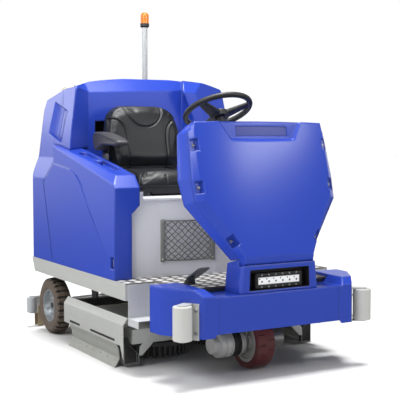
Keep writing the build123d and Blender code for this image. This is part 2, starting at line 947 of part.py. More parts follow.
def recovery_tank():
    """Rear tank: shouldered lower body, leaning upper body with sloped roof edges, lid well, mast boss, hose stub and drain plug."""
    front = [(s + seam, z) for s, z in seam_line()]
    front[0] = (front[0][0], roof_mid_z - 14)
    profile = front + [
        (rear_wall, platform_top),
        (rear_wall, shoulder_low),
        (rear_wall - 20, shoulder_high + 20),
        (rear_wall - 30, 1375),
        (rear_wall - 70, 1440),
    ]
    body = side_prism(profile, -half_width, half_width)
    lower = front_prism(
        [
            (-half_width, platform_top),
            (half_width, platform_top),
            (half_width, shoulder_low),
            (side_foot_half - 8, shoulder_high),
            (8 - side_foot_half, shoulder_high),
            (-half_width, shoulder_low),
        ],
        1400,
        rear_wall + 10,
    )
    tank = body & (lower + upper_section(2500))
    uprights = tank.edges().filter_by(Axis.Z).filter_by(lambda e: e.length > 200)
    rear = uprights.filter_by(lambda e: e.center().Y > back(rear_wall - 5))
    tank = fillet(rear, 30)
    slope = above((-555, 1476, 1484), (-555, 1736, 1434), (-355, 1476, 1550))
    tank = tank - slope - mirrored(slope)
    tank += rod((0, mast_station, 1480), (0, mast_station, mast_foot_z), mast_radius + mast_flange)
    plane = lid_plane()
    well = Cylinder(lid_radius - 18, lid_well, align=(Align.CENTER, Align.CENTER, Align.MAX))
    tank -= plane * Pos(0, 0, 1) * well
    hinge = plane * Pos(0, lid_radius + lid_knuckle, lid_knuckle + slide_gap)
    ear_x = lid_hinge / 2 + slide_gap + 4
    for side in (-1, 1):
        tank += hinge * Pos(side * ear_x, 0, 0) * Rot(0, 90, 0) * Cylinder(lid_knuckle, 8)
        tank += hinge * Pos(side * ear_x, 0, -lid_knuckle) * Box(8, 2 * lid_knuckle, 2 * lid_knuckle)
    tank += hinge * Rot(0, 90, 0) * Cylinder(lid_pin, lid_hinge + 8)
    outlet = rod((outlet_x, rear_wall - 5, outlet_z), (outlet_x, rear_wall + outlet_reach, outlet_z), outlet_radius)
    outlet += rod((outlet_x, rear_wall - 5, outlet_z), (outlet_x, rear_wall + 8, outlet_z), outlet_radius + 14)
    tank += outlet
    tank -= rod(
        (outlet_x, rear_wall - 40, outlet_z), (outlet_x, rear_wall + outlet_reach + 5, outlet_z),
        outlet_radius - outlet_wall,
    )
    drain_z = platform_top + drain_radius + 24
    tank += rod((drain_x, rear_wall - 5, drain_z), (drain_x, rear_wall + 10, drain_z), drain_radius + 8)
    tank += rod((drain_x, rear_wall - 5, drain_z), (drain_x, rear_wall + 24, drain_z), drain_radius)
    tank += block(
        drain_x - drain_radius + 6, drain_x + drain_radius - 6, rear_wall, rear_wall + 34, drain_z - 6, drain_z + 6
    )
    tank -= grip_scoops()
    return tank - rod(
        (vacuum_x, vacuum_station, platform_top - 1),
        (vacuum_x, vacuum_station, platform_top + vacuum_height + 20),
        vacuum_radius + 20,
    )


def lid_plane():
    """Seat of the tank lid on the raked roof."""
    top = roof_mid_z - 14
    run = rear_wall - 70 - 1476
    slope = (1440 - top) / run
    z = top + slope * (lid_station - 1476 - seam)
    return Plane(origin=(lid_x, back(lid_station), z), x_dir=(1, 0, 0), z_dir=(0, -slope, 1))


def tank_lid():
    """Dished round lid with a finger tab."""
    plane = lid_plane()
    lid = Cylinder(lid_radius, lid_height, align=(Align.CENTER, Align.CENTER, Align.MIN))
    lid = fillet(lid.edges().group_by(Axis.Z)[-1], 9)
    lid -= Pos(0, 0, lid_height - 6) * Cylinder(lid_radius - 26, 12, align=(Align.CENTER, Align.CENTER, Align.MIN))
    lid += Pos(0, -lid_radius, 7) * Box(44, 26, 13)
    knuckle = Pos(0, lid_radius + lid_knuckle, lid_knuckle)
    lid += knuckle * Rot(0, 90, 0) * Cylinder(lid_knuckle, lid_hinge)
    lid += knuckle * Pos(0, -lid_knuckle, 0) * Box(lid_hinge, 2 * lid_knuckle, lid_knuckle)
    lid -= knuckle * Rot(0, 90, 0) * Cylinder(lid_pin + running, lid_hinge + 2)
    return plane * Pos(0, 0, slide_gap) * lid


def beacon_mast():
    """Tube mast with a foot flange."""
    mast = rod((0, mast_station, mast_foot_z), (0, mast_station, mast_top), mast_radius)
    flange = rod((0, mast_station, mast_foot_z), (0, mast_station, mast_foot_z + 6), mast_radius + mast_flange)
    return mast + flange


def beacon_base():
    """Black socket under the lens."""
    base = Cylinder(beacon_radius, beacon_base_height, align=(Align.CENTER, Align.CENTER, Align.MIN))
    base = chamfer(base.edges().group_by(Axis.Z)[0], 6)
    return Pos(0, back(mast_station), mast_top) * base


def beacon_lens():
    """Ribbed dome lens."""
    radius = beacon_radius - 2
    neck = beacon_dome_height - radius
    drum = Cylinder(radius, neck, align=(Align.CENTER, Align.CENTER, Align.MIN))
    lens = drum + Pos(0, 0, neck) * Sphere(radius)
    lens -= Pos(0, 0, -radius) * Box(4 * radius, 4 * radius, 2 * radius)
    rings = 3
    for i in range(rings):
        band = Cylinder(radius + 2, 3) - Cylinder(radius - 1.5, 4)
        lens -= Pos(0, 0, (i + 0.6) * neck / rings) * band
    return Pos(0, back(mast_station), mast_top + beacon_base_height) * lens


# Seat box, batteries and net


def battery_box():
    """Folded seat box: faceted front panel with a stepped, lipped top edge and a closed top."""
    right = -tank_foot_inner + seam
    left = left_tank_inner - seam
    folds = [(right, box_side_s), (box_fold_x, box_fold_s), (box_nose_x, box_nose_s), (left, box_left_s)]
    rear_folds = [(x, s + box_sheet) for x, s in reversed(folds)]
    front = plan_prism(folds + rear_folds, platform_top, box_top + 36)
    upper = -tank_inner + seam
    notch = [
        (right - 1, tank_notch_low - seam),
        (right, tank_notch_low - seam),
        (upper, tank_notch_high - seam),
        (upper, box_top + 40),
        (right - 1, box_top + 40),
    ]
    front -= front_prism(notch, box_nose_s - 10, box_side_s + 20)
    step = block(upper + 34, left + 1, box_nose_s - 10, box_side_s + 20, box_top, box_top + 60)
    front -= step
    lip_folds = [(x, s - 6) for x, s in folds]
    lip = plan_prism(lip_folds + [(x, s) for x, s in reversed(folds)], box_top - 10, box_top)
    lip &= block(upper + 34, left, box_nose_s - 20, box_side_s + 20, box_top - 20, box_top + 20)
    walls = plan_prism(
        folds[1:] + [(left, box_rear), (upper, box_rear), (upper, box_side_s)], platform_top, box_top
    )
    inside = plan_prism(
        [
            (box_fold_x, box_fold_s + box_sheet),
            (box_nose_x, box_nose_s + box_sheet),
            (left - box_sheet, box_left_s + box_sheet),
            (left - box_sheet, box_rear - box_sheet),
            (upper + box_sheet, box_rear - box_sheet),
            (upper + box_sheet, box_side_s + box_sheet),
        ],
        platform_top - 1,
        box_top - box_sheet,
    )
    return front + lip + (walls - inside)


def battery_pack():
    """Block of traction cells with raised cell lids."""
    low = platform_top
    pack = block(
        operator_x - battery_half, operator_x + battery_half, battery_front, battery_rear, low, battery_top
    )
    columns = 4
    rows = 3
    for i in range(columns):
        for j in range(rows):
            x = operator_x - battery_half + (i + 0.5) * 2 * battery_half / columns
            s = battery_front + (j + 0.5) * (battery_rear - battery_front) / rows
            pack += block(x - 55, x + 55, s - 90, s + 90, battery_top, battery_top + 12)
    return pack


def net_plane():
    """Plane on the front of the seat box's main facet, with x along the facet."""
    run = Vector(box_nose_x - box_fold_x, box_nose_s - box_fold_s, 0)
    middle = Vector(box_fold_x + run.X / 2, back(box_fold_s + run.Y / 2), (net_low + net_high) / 2)
    return Plane(origin=middle, x_dir=run, z_dir=(run.Y, -run.X, 0))


def storage_net():
    """Diamond-mesh net on two upright bars."""
    plane = net_plane()
    width = math.hypot(box_nose_x - box_fold_x, box_nose_s - box_fold_s)
    height = net_high - net_low
    span = width - 2 * net_bar - 12
    bars = []
    for side in (-1, 1):
        bar = Pos(side * (span + net_bar) / 2, 0, 5) * Box(net_bar, height, 10)
        bars.append(plane * fillet(bar.edges().filter_by(Axis.Y), 3))
    cell_x = span / net_columns
    cell_y = (height - 22) / net_rows
    half_x = cell_x / 2 - net_strand * 0.7
    half_y = cell_y / 2 - net_strand * 0.7
    holes = []
    for i in range(2 * net_columns - 1):
        for j in range(2 * net_rows - 1):
            if (i + j) % 2:
                continue
            x = (i + 1) * cell_x / 2 - span / 2
            y = (j + 1) * cell_y / 2 - net_rows * cell_y / 2
            ring = Polyline((x - half_x, y), (x, y - half_y), (x + half_x, y), (x, y + half_y), close=True)
            holes.append(Wire(ring.edges()))
    border = Wire(Rectangle(span, height - 22).wire().edges())
    mesh = extrude(Face(border, holes), amount=2.4)
    return Compound(children=bars + [plane * Pos(0, 0, 4) * mesh])


# Seat


def seat_rails():
    """Two floor rails for the seat slide."""
    rails = []
    for side in (-1, 1):
        x = operator_x + side * rail_gauge / 2
        foot = block(x - 24, x + 24, rail_front, rail_rear, box_top, box_top + 5)
        head = block(x - 13, x + 13, rail_front, rail_rear, box_top + 5, box_top + rail_height)
        rails.append(foot + head)
    return Compound(children=rails)


def seat_pan():
    """Pressed pan with runner channels over the rails and ears for the backrest pivot."""
    low = box_top + rail_height - 10
    top = box_top + rail_height + slide_gap + pan_height
    half = seat_width / 2 - pan_inset
    pan = block(operator_x - half, operator_x + half, seat_front + 22, seat_rear - 10, low, top)
    pan = fillet(pan.edges().filter_by(Axis.Z), 36)
    for side in (-1, 1):
        x = operator_x + side * rail_gauge / 2
        pan -= block(
            x - 13 - slide_gap, x + 13 + slide_gap, seat_front - 100, seat_rear + 100, low - 1,
            box_top + rail_height + slide_gap,
        )
        ear_x = operator_x + side * (half - 4)
        ear = [
            (seat_rear - 70, low + 8),
            (back_pivot_s, back_pivot_z - 22),
            (back_pivot_s + 18, back_pivot_z),
            (back_pivot_s, back_pivot_z + 18),
            (seat_rear + 4, back_pivot_z + 8),
            (seat_rear + 4, top - 2),
            (seat_rear - 70, top - 2),
        ]
        pan += side_prism(ear, ear_x - 4, ear_x + 4)
        tip = operator_x + side * (half + 18)
        pan += rod((ear_x, back_pivot_s, back_pivot_z), (tip, back_pivot_s, back_pivot_z), seat_pin)
    return pan


def pad_section(plane, half, front, rear, crown, drawn):
    """Cushion section on a plane: flat foot, drawn-in sides and a crowned top, as a face."""
    foot = Line((-half, rear), (half, rear))
    right = ThreePointArc((half, rear), (half + drawn, (front + rear) / 2), (half - 6, front))
    top = ThreePointArc((half - 6, front), (0, front + crown), (-half + 6, front))
    left = ThreePointArc((-half + 6, front), (-half - drawn, (front + rear) / 2), (-half, rear))
    return plane * make_face(foot + right + top + left)


def seat_cushion():
    """Crowned seat pad with a rolled front edge."""
    foot = box_top + rail_height + slide_gap + pan_height
    half = seat_width / 2
    length = seat_rear - seat_front
    sections = []
    for share, narrow, height in (
        (0.0, 26, 40),
        (0.06, 8, cushion_front_height - 8),
        (0.3, 2, cushion_front_height),
        (0.75, 0, cushion_front_height + 2),
        (1.0, 20, cushion_front_height - 14),
    ):
        place = Plane(
            origin=(operator_x, back(seat_front + share * length), foot), x_dir=(1, 0, 0), z_dir=(0, -1, 0)
        )
        sections.append(pad_section(place, half - narrow - 8, height, 0, cushion_crown, 5))
    return loft(sections)


def back_plane(height):
    """Section plane across the leaning backrest, y towards the operator."""
    lean = math.radians(recline)
    up = Vector(0, math.sin(lean), math.cos(lean))
    foot = Vector(operator_x, back(back_foot_s), back_foot_z)
    return Plane(origin=foot + up * height, x_dir=(-1, 0, 0), z_dir=up)


def backrest_pad():
    """Crowned backrest pad with rounded shoulders."""
    half = back_width / 2
    sections = []
    for share, narrow, front in (
        (0.0, 34, 22),
        (0.06, 20, 38),
        (0.3, 6, 44),
        (0.66, 2, 42),
        (0.8, 40, 40),
        (0.9, 80, 36),
        (0.97, 108, 28),
        (1.0, 132, 16),
    ):
        place = back_plane(share * back_height)
        sections.append(pad_section(place, half - narrow - 6, front, pad_front - back_thickness, 6, 4))
    return loft(sections)


def backrest_shell():
    """Moulded back behind the pad, with side cheeks down to the pivots and armrest bosses."""
    rear = pad_front - back_thickness
    half = back_width / 2 - 26
    pan_half = seat_width / 2 - pan_inset
    mid = rear - back_shell / 2
    lower = back_plane(0) * Pos(0, mid, 0) * Rectangle(2 * pan_half + 20, back_shell)
    middle = back_plane(back_height * 0.66) * Pos(0, mid, 0) * Rectangle(2 * half, back_shell)
    upper = back_plane(back_height * 0.94) * Pos(0, mid, 0) * Rectangle(1.1 * half, back_shell)
    shell = loft([lower, middle], ruled=True) + loft([middle, upper], ruled=True)
    lean = math.radians(recline)
    rear_s = back_foot_s - rear * math.cos(lean)
    foot_z = back_foot_z + rear * math.sin(lean)
    arm_level = (arm_pivot_z - foot_z) / math.cos(lean)
    ear_in = back_width / 2 + 2
    ear_out = back_width / 2 + arm_ear
    for side in (-1, 1):
        inner = operator_x + side * (pan_half + slide_gap)
        outer = operator_x + side * (pan_half + 10)
        cheek = [
            (back_pivot_s - 18, back_pivot_z - 12),
            (back_pivot_s + 20, back_pivot_z - 12),
            (rear_s + 30, back_foot_z + 50),
            (rear_s + 15, back_foot_z + 50),
            (rear_s + 3, foot_z),
        ]
        shell += side_prism(cheek, min(inner, outer), max(inner, outer))
        shell -= rod(
            (operator_x + side * (pan_half - 40), back_pivot_s, back_pivot_z),
            (operator_x + side * (pan_half + 40), back_pivot_s, back_pivot_z),
            seat_pin + running,
        )
        reach = ear_out - half + 20
        shell += back_plane(arm_level) * Pos(-side * (ear_out - reach / 2), mid, 0) * Box(reach, back_shell, 62)
        near = operator_x + side * ear_in
        far = operator_x + side * ear_out
        level_s = rear_s + arm_level * math.sin(lean)
        shell += block(
            min(near, far), max(near, far), arm_pivot_s - 16, level_s + 6, arm_pivot_z - 26, arm_pivot_z + 16
        )
        tip = operator_x + side * (ear_out + slide_gap + arm_pad_width - 14)
        shell += rod((far, arm_pivot_s, arm_pivot_z), (tip, arm_pivot_s, arm_pivot_z), arm_pin)
    return shell


def armrest():
    """Left armrest: padded bar with a pivot lug at its rear."""
    inner = operator_x + back_width / 2 + arm_ear + slide_gap
    outer = inner + arm_pad_width
    rear = arm_pivot_s + 44
    front = rear - arm_pad_length
    top = arm_pad_top
    low = top - arm_pad_height
    profile = [
        (rear - 4, low - 8),
        (rear, low + 20),
        (rear - 6, top - 10),
        (rear - 40, top),
        (front + 190, top - 10),
        (front + 60, top - 32),
        (front, top - 50),
        (front + 4, low - 14),
        (front + 30, low - 20),
        (front + 170, low - 12),
    ]
    pad = side_prism(profile, inner, outer)
    pad = fillet(pad.edges().filter_by(lambda e: abs(e.center().X - (inner + outer) / 2) > 20), 9)
    lug = [
        (arm_pivot_s + 30, low + 6),
        (arm_pivot_s + 20, arm_pivot_z - 18),
        (arm_pivot_s - 20, arm_pivot_z - 18),
        (arm_pivot_s - 60, low + 6),
    ]
    pad += side_prism(lug, inner + 8, outer - 14)
    bore = rod((inner - 5, arm_pivot_s, arm_pivot_z), (outer + 5, arm_pivot_s, arm_pivot_z), arm_pin + running)
    return pad - bore


def armrest_right():
    """The same armrest on the operator's right."""
    return mirror(armrest(), about=Plane(origin=(operator_x, 0, 0), z_dir=(1, 0, 0)))


# Front cover, column and lights


def cover_plane():
    """Leaning plane of the front cover: x across, y up the slope, z forward."""
    lean = math.radians(cover_lean)
    return Plane(
        origin=(0, back(cover_foot_s), cover_foot_z), x_dir=(1, 0, 0),
        z_dir=(0, -math.cos(lean), math.sin(lean)),
    )


def cover_outline(depth, inset):
    """Cover outline at a depth behind its face, between the bevelled face, the joint with the cowl and the rear rim."""
    face = [(203, 0), (350, 300), (360, 400), (368, 642), (379, 690)]
    joint = [(217, 0), (423, 291), (428, 408), (416, 645), (390, 690)]
    rim = [(228, 2), (452, 288), (469, 416), (440, 645), (381, 696)]
    inner, outer = (face, joint) if depth < cover_depth else (joint, rim)
    first = 0 if depth < cover_depth else cover_depth
    last = cover_depth if depth < cover_depth else cowl_depth
    share = (depth - first) / (last - first)
    half = []
    for (fx, fy), (rx, ry) in zip(inner, outer):
        half.append((fx + (rx - fx) * share - inset, fy + (ry - fy) * share))
    half[0] = (half[0][0], half[0][1] + inset)
    half[-1] = (half[-1][0], half[-1][1] - inset)
    points = half + [(-x, y) for x, y in reversed(half)]
    return make_face(Polyline(*[(x, y, -depth) for x, y in points], close=True))


def cover_slab(near, far, inset):
    """Solid between two depths of the cover, in the cover's own plane."""
    return loft([cover_outline(near, inset), cover_outline(far, inset)], ruled=True)


def pocket_places():
    """Centres and turns of the bolt pockets on the cover, as (x, y, turn)."""
    left = [(-392, 575, 0), (-394, 362, 0), (-252, 90, pocket_turn)]
    return left + [(-x, y, -turn) for x, y, turn in left]


def field_outline(level):
    """Name-plate field's outline at a level above the cover's face, its walls falling at 45 degrees."""
    half_low = field_low_half + level
    low = field_low - level
    high = field_low + 2 * field_rise
    half_high = half_low + field_flare * (high - low)
    points = [(-half_low, low), (half_low, low), (half_high, high), (-half_high, high)]
    return make_face(Polyline(*[(x, y, level) for x, y in points], close=True))


def field_floor(sink):
    """Solid under the field's floor, which follows the crown and rises to the cover's top."""
    tilt = math.degrees(math.atan2(field_low_depth - field_high_depth, field_rise))
    drum = Pos(0, 0, -cover_crown_radius) * Rot(90, 0, 0) * Cylinder(cover_crown_radius, 2000)
    return Pos(0, field_low, -field_low_depth - sink) * Rot(tilt, 0, 0) * drum


def cover_lip():
    """Lower lip of the cover, turned in under its face."""
    front = lip_half - 4
    rear = lip_half + 10
    top = Polyline(
        (-front, 1, 0), (front, 1, 0), (rear, 1, -cover_depth), (-rear, 1, -cover_depth), close=True
    )
    foot = Polyline(
        (-lip_half, -lip_drop, -lip_back), (lip_half, -lip_drop, -lip_back),
        (lip_half, -lip_drop, -cover_depth), (-lip_half, -lip_drop, -cover_depth),
        close=True,
    )
    return loft([make_face(top), make_face(foot)], ruled=True)


def front_cover():
    """Crowned front cover with a turned-in lip, a sunk name-plate field, a bare plate recess and bolt pockets."""
    cover = cover_slab(0, cover_depth, 0) + cover_lip()
    crown = Pos(0, 0, -cover_crown_radius) * Rot(90, 0, 0) * Cylinder(cover_crown_radius, 2000)
    cover &= crown
    cover -= loft([field_outline(5), field_outline(-cover_depth)], ruled=True) - field_floor(0)
    plate_box = Pos(0, name_mid, 0) * Box(2 * name_half, name_height, 2 * cover_depth)
    cover -= plate_box - field_floor(name_sink)
    for x, y, turn in pocket_places():
        cover -= Pos(x, y, 0) * Rot(0, 0, turn) * Box(pocket_width, pocket_height, 2 * pocket_depth)
    return cover_plane() * cover


def cover_bolts():
    """Six button-head bolts seated in the cover's pockets."""
    bolts = []
    plane = cover_plane()
    for x, y, turn in pocket_places():
        head = Cylinder(bolt_radius, 6, align=(Align.CENTER, Align.CENTER, Align.MIN))
        head = fillet(head.edges().group_by(Axis.Z)[-1], 2.5)
        head -= Pos(0, 0, 4) * extrude(RegularPolygon(4, 6), amount=4)
        bolts.append(plane * Pos(x, y, -pocket_depth) * head)
    return Compound(children=bolts)


def cowl():
    """Shell behind the front cover, closed at the rear, with a slot for the column's post."""
    shell = cover_slab(cover_depth, cowl_depth, 3)
    shell -= cover_slab(cover_depth - 1, cowl_depth - cowl_sheet, 3 + cowl_sheet)
    half = spine_post_half + seam
    slot = Pos(0, 100, -cowl_depth / 2) * Box(2 * half, 500, cowl_depth - 2 * cowl_sheet)
    opening = Pos(0, 60, -(cover_depth + cowl_depth - cowl_sheet) / 2) * Box(
        2 * half, 260, cowl_depth - cowl_sheet - cover_depth
    )
    return cover_plane() * (shell - opening)


def front_column():
    """Column over the bumper with the light's recess and a leaning post inside the cover."""
    front = [
        (-column_foot_half, bumper_dip_top),
        (column_foot_half, bumper_dip_top),
        (column_top_half, cover_foot_z + 20),
        (-column_top_half, cover_foot_z + 20),
    ]
    column = front_prism(front, column_front, column_rear)
    uprights = column.edges().filter_by(lambda e: abs(e.center().X) > 200 and e.length > 170)
    column = fillet(uprights.filter_by(lambda e: e.center().Y < back(column_front + 5)), 16)
    column -= cover_plane() * Pos(0, 200 - seam, -60) * Box(900, 400, 400)
    column -= cover_plane() * Pos(0, 200 - lip_drop - seam, 200 - cover_depth - seam) * Box(900, 400, 400)
    middle = (cover_depth + cowl_depth - cowl_sheet) / 2
    tall = spine_post_top + 40
    column += cover_plane() * Pos(0, tall / 2 - 40, -middle) * Box(
        2 * spine_post_half, tall, cowl_depth - cowl_sheet - cover_depth
    )
    sink = [
        (-light_half, light_low),
        (light_half, light_low),
        (light_half - 5, light_high),
        (5 - light_half, light_high),
    ]
    return column - front_prism(sink, column_front - 30, column_front + light_sink)


def lamp_low():
    """Height of the lamp body's underside in the recess."""
    return (light_low + light_high - lamp_height) / 2 - 8


def led_bar():
    """Frame on the recess's back wall, with the lamp body standing out of it and cell pockets."""
    back_s = column_front + light_sink
    clear = seam
    frame = [
        (clear - light_half, light_low + clear),
        (light_half - clear, light_low + clear),
        (light_half - 5 - clear, light_high - clear),
        (5 + clear - light_half, light_high - clear),
    ]
    plate_front = front_prism(frame, back_s - 8, back_s)
    low = lamp_low()
    face = column_front + lamp_setback
    body = block(-lamp_half, lamp_half, face, back_s - 8, low, low + lamp_height)
    body = fillet(body.edges().filter_by(Axis.Y), 6)
    lamp = plate_front + body
    pitch = (2 * lamp_half - 24) / lamp_cells
    for i in range(lamp_cells):
        x = -lamp_half + 12 + (i + 0.5) * pitch
        lamp -= block(
            x - pitch / 2 + 2.5, x + pitch / 2 - 2.5, face - 6, face + 8, low + 8, low + lamp_height - 8,
        )
    return lamp


def led_lenses():
    """Row of clear cells with domed optics."""
    low = lamp_low()
    face = column_front + lamp_setback
    pitch = (2 * lamp_half - 24) / lamp_cells
    cells = []
    for i in range(lamp_cells):
        x = -lamp_half + 12 + (i + 0.5) * pitch
        cell = block(
            x - pitch / 2 + 2.5 + seam / 2, x + pitch / 2 - 2.5 - seam / 2, face + 2, face + 8,
            low + 8 + seam / 2, low + lamp_height - 8 - seam / 2,
        )
        cells.append(cell)
    return Compound(children=cells)


# Steering and pedal


def wheel_plane():
    """Plane of the steering wheel's rim, z up the column towards the operator."""
    tilt = math.radians(wheel_tilt)
    return Plane(
        origin=(operator_x, back(wheel_station), wheel_z), x_dir=(1, 0, 0),
        z_dir=(0, math.sin(tilt), math.cos(tilt)),
    )


def steering_wheel():
    """Dished three-spoke wheel with a rounded hub pad."""
    rim_ring = Torus(wheel_radius, wheel_grip)
    hub = Pos(0, 0, -wheel_dish) * Cylinder(wheel_hub, 34)
    hub = fillet(hub.edges().group_by(Axis.Z)[-1], 10)
    wheel = rim_ring + hub
    for turn in (90, 210, 330):
        foot = Plane(origin=(wheel_hub - 8, 0, -wheel_dish), z_dir=(1, 0, 0), x_dir=(0, 1, 0))
        tip = Plane(origin=(wheel_radius - 6, 0, -2), z_dir=(1, 0, 0), x_dir=(0, 1, 0))
        spoke = loft([foot * RectangleRounded(62, 26, 8), tip * RectangleRounded(38, 16, 6)])
        wheel += Rot(0, 0, turn) * spoke
    return wheel_plane() * wheel


def steering_column():
    """Column tube from the wheel's hub to a flange on the cowl."""
    plane = wheel_plane()
    top = -wheel_dish - 17 - slide_gap
    tube = plane * Pos(0, 0, top) * Cylinder(column_radius, 260, align=(Align.CENTER, Align.CENTER, Align.MAX))
    collar = plane * Pos(0, 0, top - 18) * Cylinder(
        column_radius + 12, 60, align=(Align.CENTER, Align.CENTER, Align.MAX)
    )
    column = tube + collar
    wall = cover_plane() * Pos(0, 300, -cowl_depth + 250 - seam * 0) * Box(1600, 1600, 500)
    column -= wall
    lean = math.radians(cover_lean)
    drop = (column.bounding_box().min.Z - cover_foot_z) / math.cos(lean)
    flange = cover_plane() * Pos(operator_x, drop + 20, -cowl_depth - 4) * Box(110, 120, 8)
    return column + flange


def accelerator_pedal():
    """Organ pedal: ribbed plate rising forward from a heel hinge."""
    rise = math.radians(pedal_rise)
    plane = Plane(
        origin=(pedal_x, back(pedal_heel_s), pedal_heel_z), x_dir=(1, 0, 0),
        z_dir=(0, math.sin(rise), math.cos(rise)),
    )
    heel = pedal_pin * 2.8
    pad = Pos(0, -(pedal_length + heel) / 2, pedal_sheet / 2 + 4) * Box(
        pedal_width, pedal_length - heel, pedal_sheet
    )
    pad = fillet(pad.edges().filter_by(Axis.Z), 8)
    pad += Pos(0, -heel, 4) * Box(pedal_width - 26, 2 * heel, 8)
    ribs = 6
    for i in range(ribs):
        y = -pedal_length + 20 + i * (pedal_length - 50) / (ribs - 1)
        pad += Pos(0, y, pedal_sheet + 5.5) * Box(pedal_width - 14, 7, 3)
    barrel = Rot(0, 90, 0) * Cylinder(pedal_pin + 6, pedal_width - 24)
    barrel -= Rot(0, 90, 0) * Cylinder(pedal_pin + running, pedal_width)
    pad += barrel
    pad -= Rot(0, 90, 0) * Cylinder(pedal_pin + running, pedal_width * 2)
    return plane * pad


def pedal_bracket():
    """Foot plate with two ears and the pedal's pin."""
    half = (pedal_width - 24) / 2
    foot = block(
        pedal_x - pedal_width / 2, pedal_x + pedal_width / 2, pedal_heel_s - 10, pedal_heel_s + 32,
        platform_top, platform_top + 4,
    )
    for side in (-1, 1):
        inner = pedal_x + side * (half + slide_gap)
        outer = pedal_x + side * (half + 6)
        ear = [
            (pedal_heel_s - 10, platform_top),
            (pedal_heel_s + 24, platform_top),
            (pedal_heel_s + 9, pedal_heel_z + 6),
            (pedal_heel_s - 3, pedal_heel_z + 6),
        ]
        foot += side_prism(ear, min(inner, outer), max(inner, outer))
    reach = half + 6
    foot += rod(
        (pedal_x - reach, pedal_heel_s, pedal_heel_z), (pedal_x + reach, pedal_heel_s, pedal_heel_z), pedal_pin
    )
    return foot


# Scrub deck


def deck_housing():
    """Open-bottomed pressing with shaft holes, guide collars, arms to the side guards and front braces."""
    low = deck_top - deck_sheet
    deck = block(-deck_half, deck_half, deck_front, deck_rear, deck_skirt_low, deck_top)
    deck -= block(
        deck_sheet - deck_half, deck_half - deck_sheet, deck_front + deck_sheet, deck_rear - deck_sheet,
        deck_skirt_low - 1, low,
    )
    for side in (-1, 1):
        x = side * brush_x
        deck -= rod((x, brush_station, low - 5), (x, brush_station, deck_top + 5), brush_shaft + running)
        inner = side * (deck_half - 60)
        outer = side * (guard_outer - guard_sheet - blade_sheet)
        for station in guard_arm_stations:
            deck += block(
                min(inner, outer), max(inner, outer), station - 20, station + 20, deck_top, deck_top + 8
            )
            tip = side * (guard_outer - guard_sheet)
            deck += block(min(outer, tip), max(outer, tip), station - 20, station + 20, deck_top, deck_top + 8)
        brace = [
            (splash_inner + 2, brace_foot_z),
            (splash_inner - 14, brace_foot_z),
            (splash_inner - 67, 113),
            (splash_inner - 118, 176),
            (splash_inner - 84, 190),
            (splash_inner - 1, 109),
        ]
        deck += front_prism([(side * x, z) for x, z in brace], deck_front - brace_sheet, deck_front)
    for station in guide_stations:
        deck += rod((0, station, deck_top), (0, station, deck_top + guide_collar_height), guide_collar)
        deck -= rod(
            (0, station, low - 5), (0, station, deck_top + guide_collar_height + 5), guide_radius + running
        )
    return deck


def side_guards():
    """Stainless guards: upright sheet with an inward roof bend, wash-out slots and, on the right, a pointed front tab."""
    outer = guard_outer
    sheet = guard_sheet
    profile = [
        (outer, deck_skirt_low),
        (outer, guard_bend_z),
        (guard_top_x + sheet * 0.6, guard_top_z),
        (guard_top_x - sheet * 0.6, guard_top_z - sheet * 1.2),
        (outer - sheet, guard_bend_z - sheet * 0.6),
        (outer - sheet, deck_skirt_low),
    ]
    guard = front_prism(profile, guard_front, guard_rear)
    tab = [
        (guard_front, deck_skirt_low + 1),
        (guard_front, guard_tab_low),
        (guard_front + guard_tab_length, deck_skirt_low + 1),
    ]
    for start, end in ((blade_front + 10, blade_front + 330), (blade_rear - 160, blade_rear - 10)):
        guard -= block(outer - 20, outer + 5, start, end, deck_skirt_low + 10, deck_skirt_low + 24)
    tabbed = guard + side_prism(tab, outer - sheet, outer)
    return Compound(children=[guard, mirrored(tabbed)])


def side_squeegees():
    """Folded carrier strips behind the guards, drawn in to a waist and flared out to the rubber's edge."""
    outer = guard_outer - guard_sheet
    bend = deck_skirt_low - 2
    line = [
        (outer, blade_top),
        (outer, bend),
        (blade_waist_x + 6, bend - 32),
        (blade_waist_x + 4, bend - 52),
        (blade_waist_x, blade_waist_z),
        (blade_foot_x, floor_gap),
    ]
    inside = [(x - blade_sheet, z) for x, z in reversed(line)]
    return pair(front_prism(line + inside, blade_front, blade_rear))


def splash_guards():
    """Upright channels at the deck's front corners, from the guard in to the brace strap."""
    outer = guard_outer - guard_sheet
    rear = splash_station + splash_sheet
    corner = deck_half + 6
    face = [
        (splash_inner, splash_low),
        (splash_outer, splash_low),
        (splash_outer, deck_skirt_low),
        (outer, deck_skirt_low),
        (outer, splash_top),
        (corner + 6, splash_top),
        (corner, deck_skirt_low - 8),
        (splash_inner, deck_skirt_low - 52),
    ]
    channel = front_prism(face, splash_station, rear)
    channel += block(
        splash_outer - splash_sheet, splash_outer, rear, rear + splash_return, splash_low, deck_skirt_low
    )
    channel += block(
        splash_inner, splash_outer, rear, rear + splash_return / 2, splash_low, splash_low + splash_sheet
    )
    channel += block(
        splash_inner, splash_inner + splash_sheet, deck_front, splash_station, splash_low, deck_skirt_low - 52
    )
    return pair(channel)


def brush():
    """Left disc brush: plate, hub with its shaft and rings of tufts."""
    low = brush_plate_low
    plate_top = low + brush_plate
    disc = rod((brush_x, brush_station, low), (brush_x, brush_station, plate_top), brush_radius - 12)
    disc += rod((brush_x, brush_station, plate_top), (brush_x, brush_station, deck_top - deck_sheet - 6), brush_boss)
    shaft_top = deck_top - 1
    disc += rod((brush_x, brush_station, plate_top), (brush_x, brush_station, shaft_top), brush_shaft)
    tufts = []
    rings = 5
    for ring in range(rings):
        radius = 90 + ring * (brush_radius - 110) / (rings - 1)
        count = 16 + 8 * ring
        for i in range(count):
            turn = 2 * math.pi * i / count
            x = brush_x + radius * math.cos(turn)
            s = brush_station + radius * math.sin(turn)
            tufts.append(block(x - 5, x + 5, s - 5, s + 5, floor_gap, low + 1))
    return disc + tufts


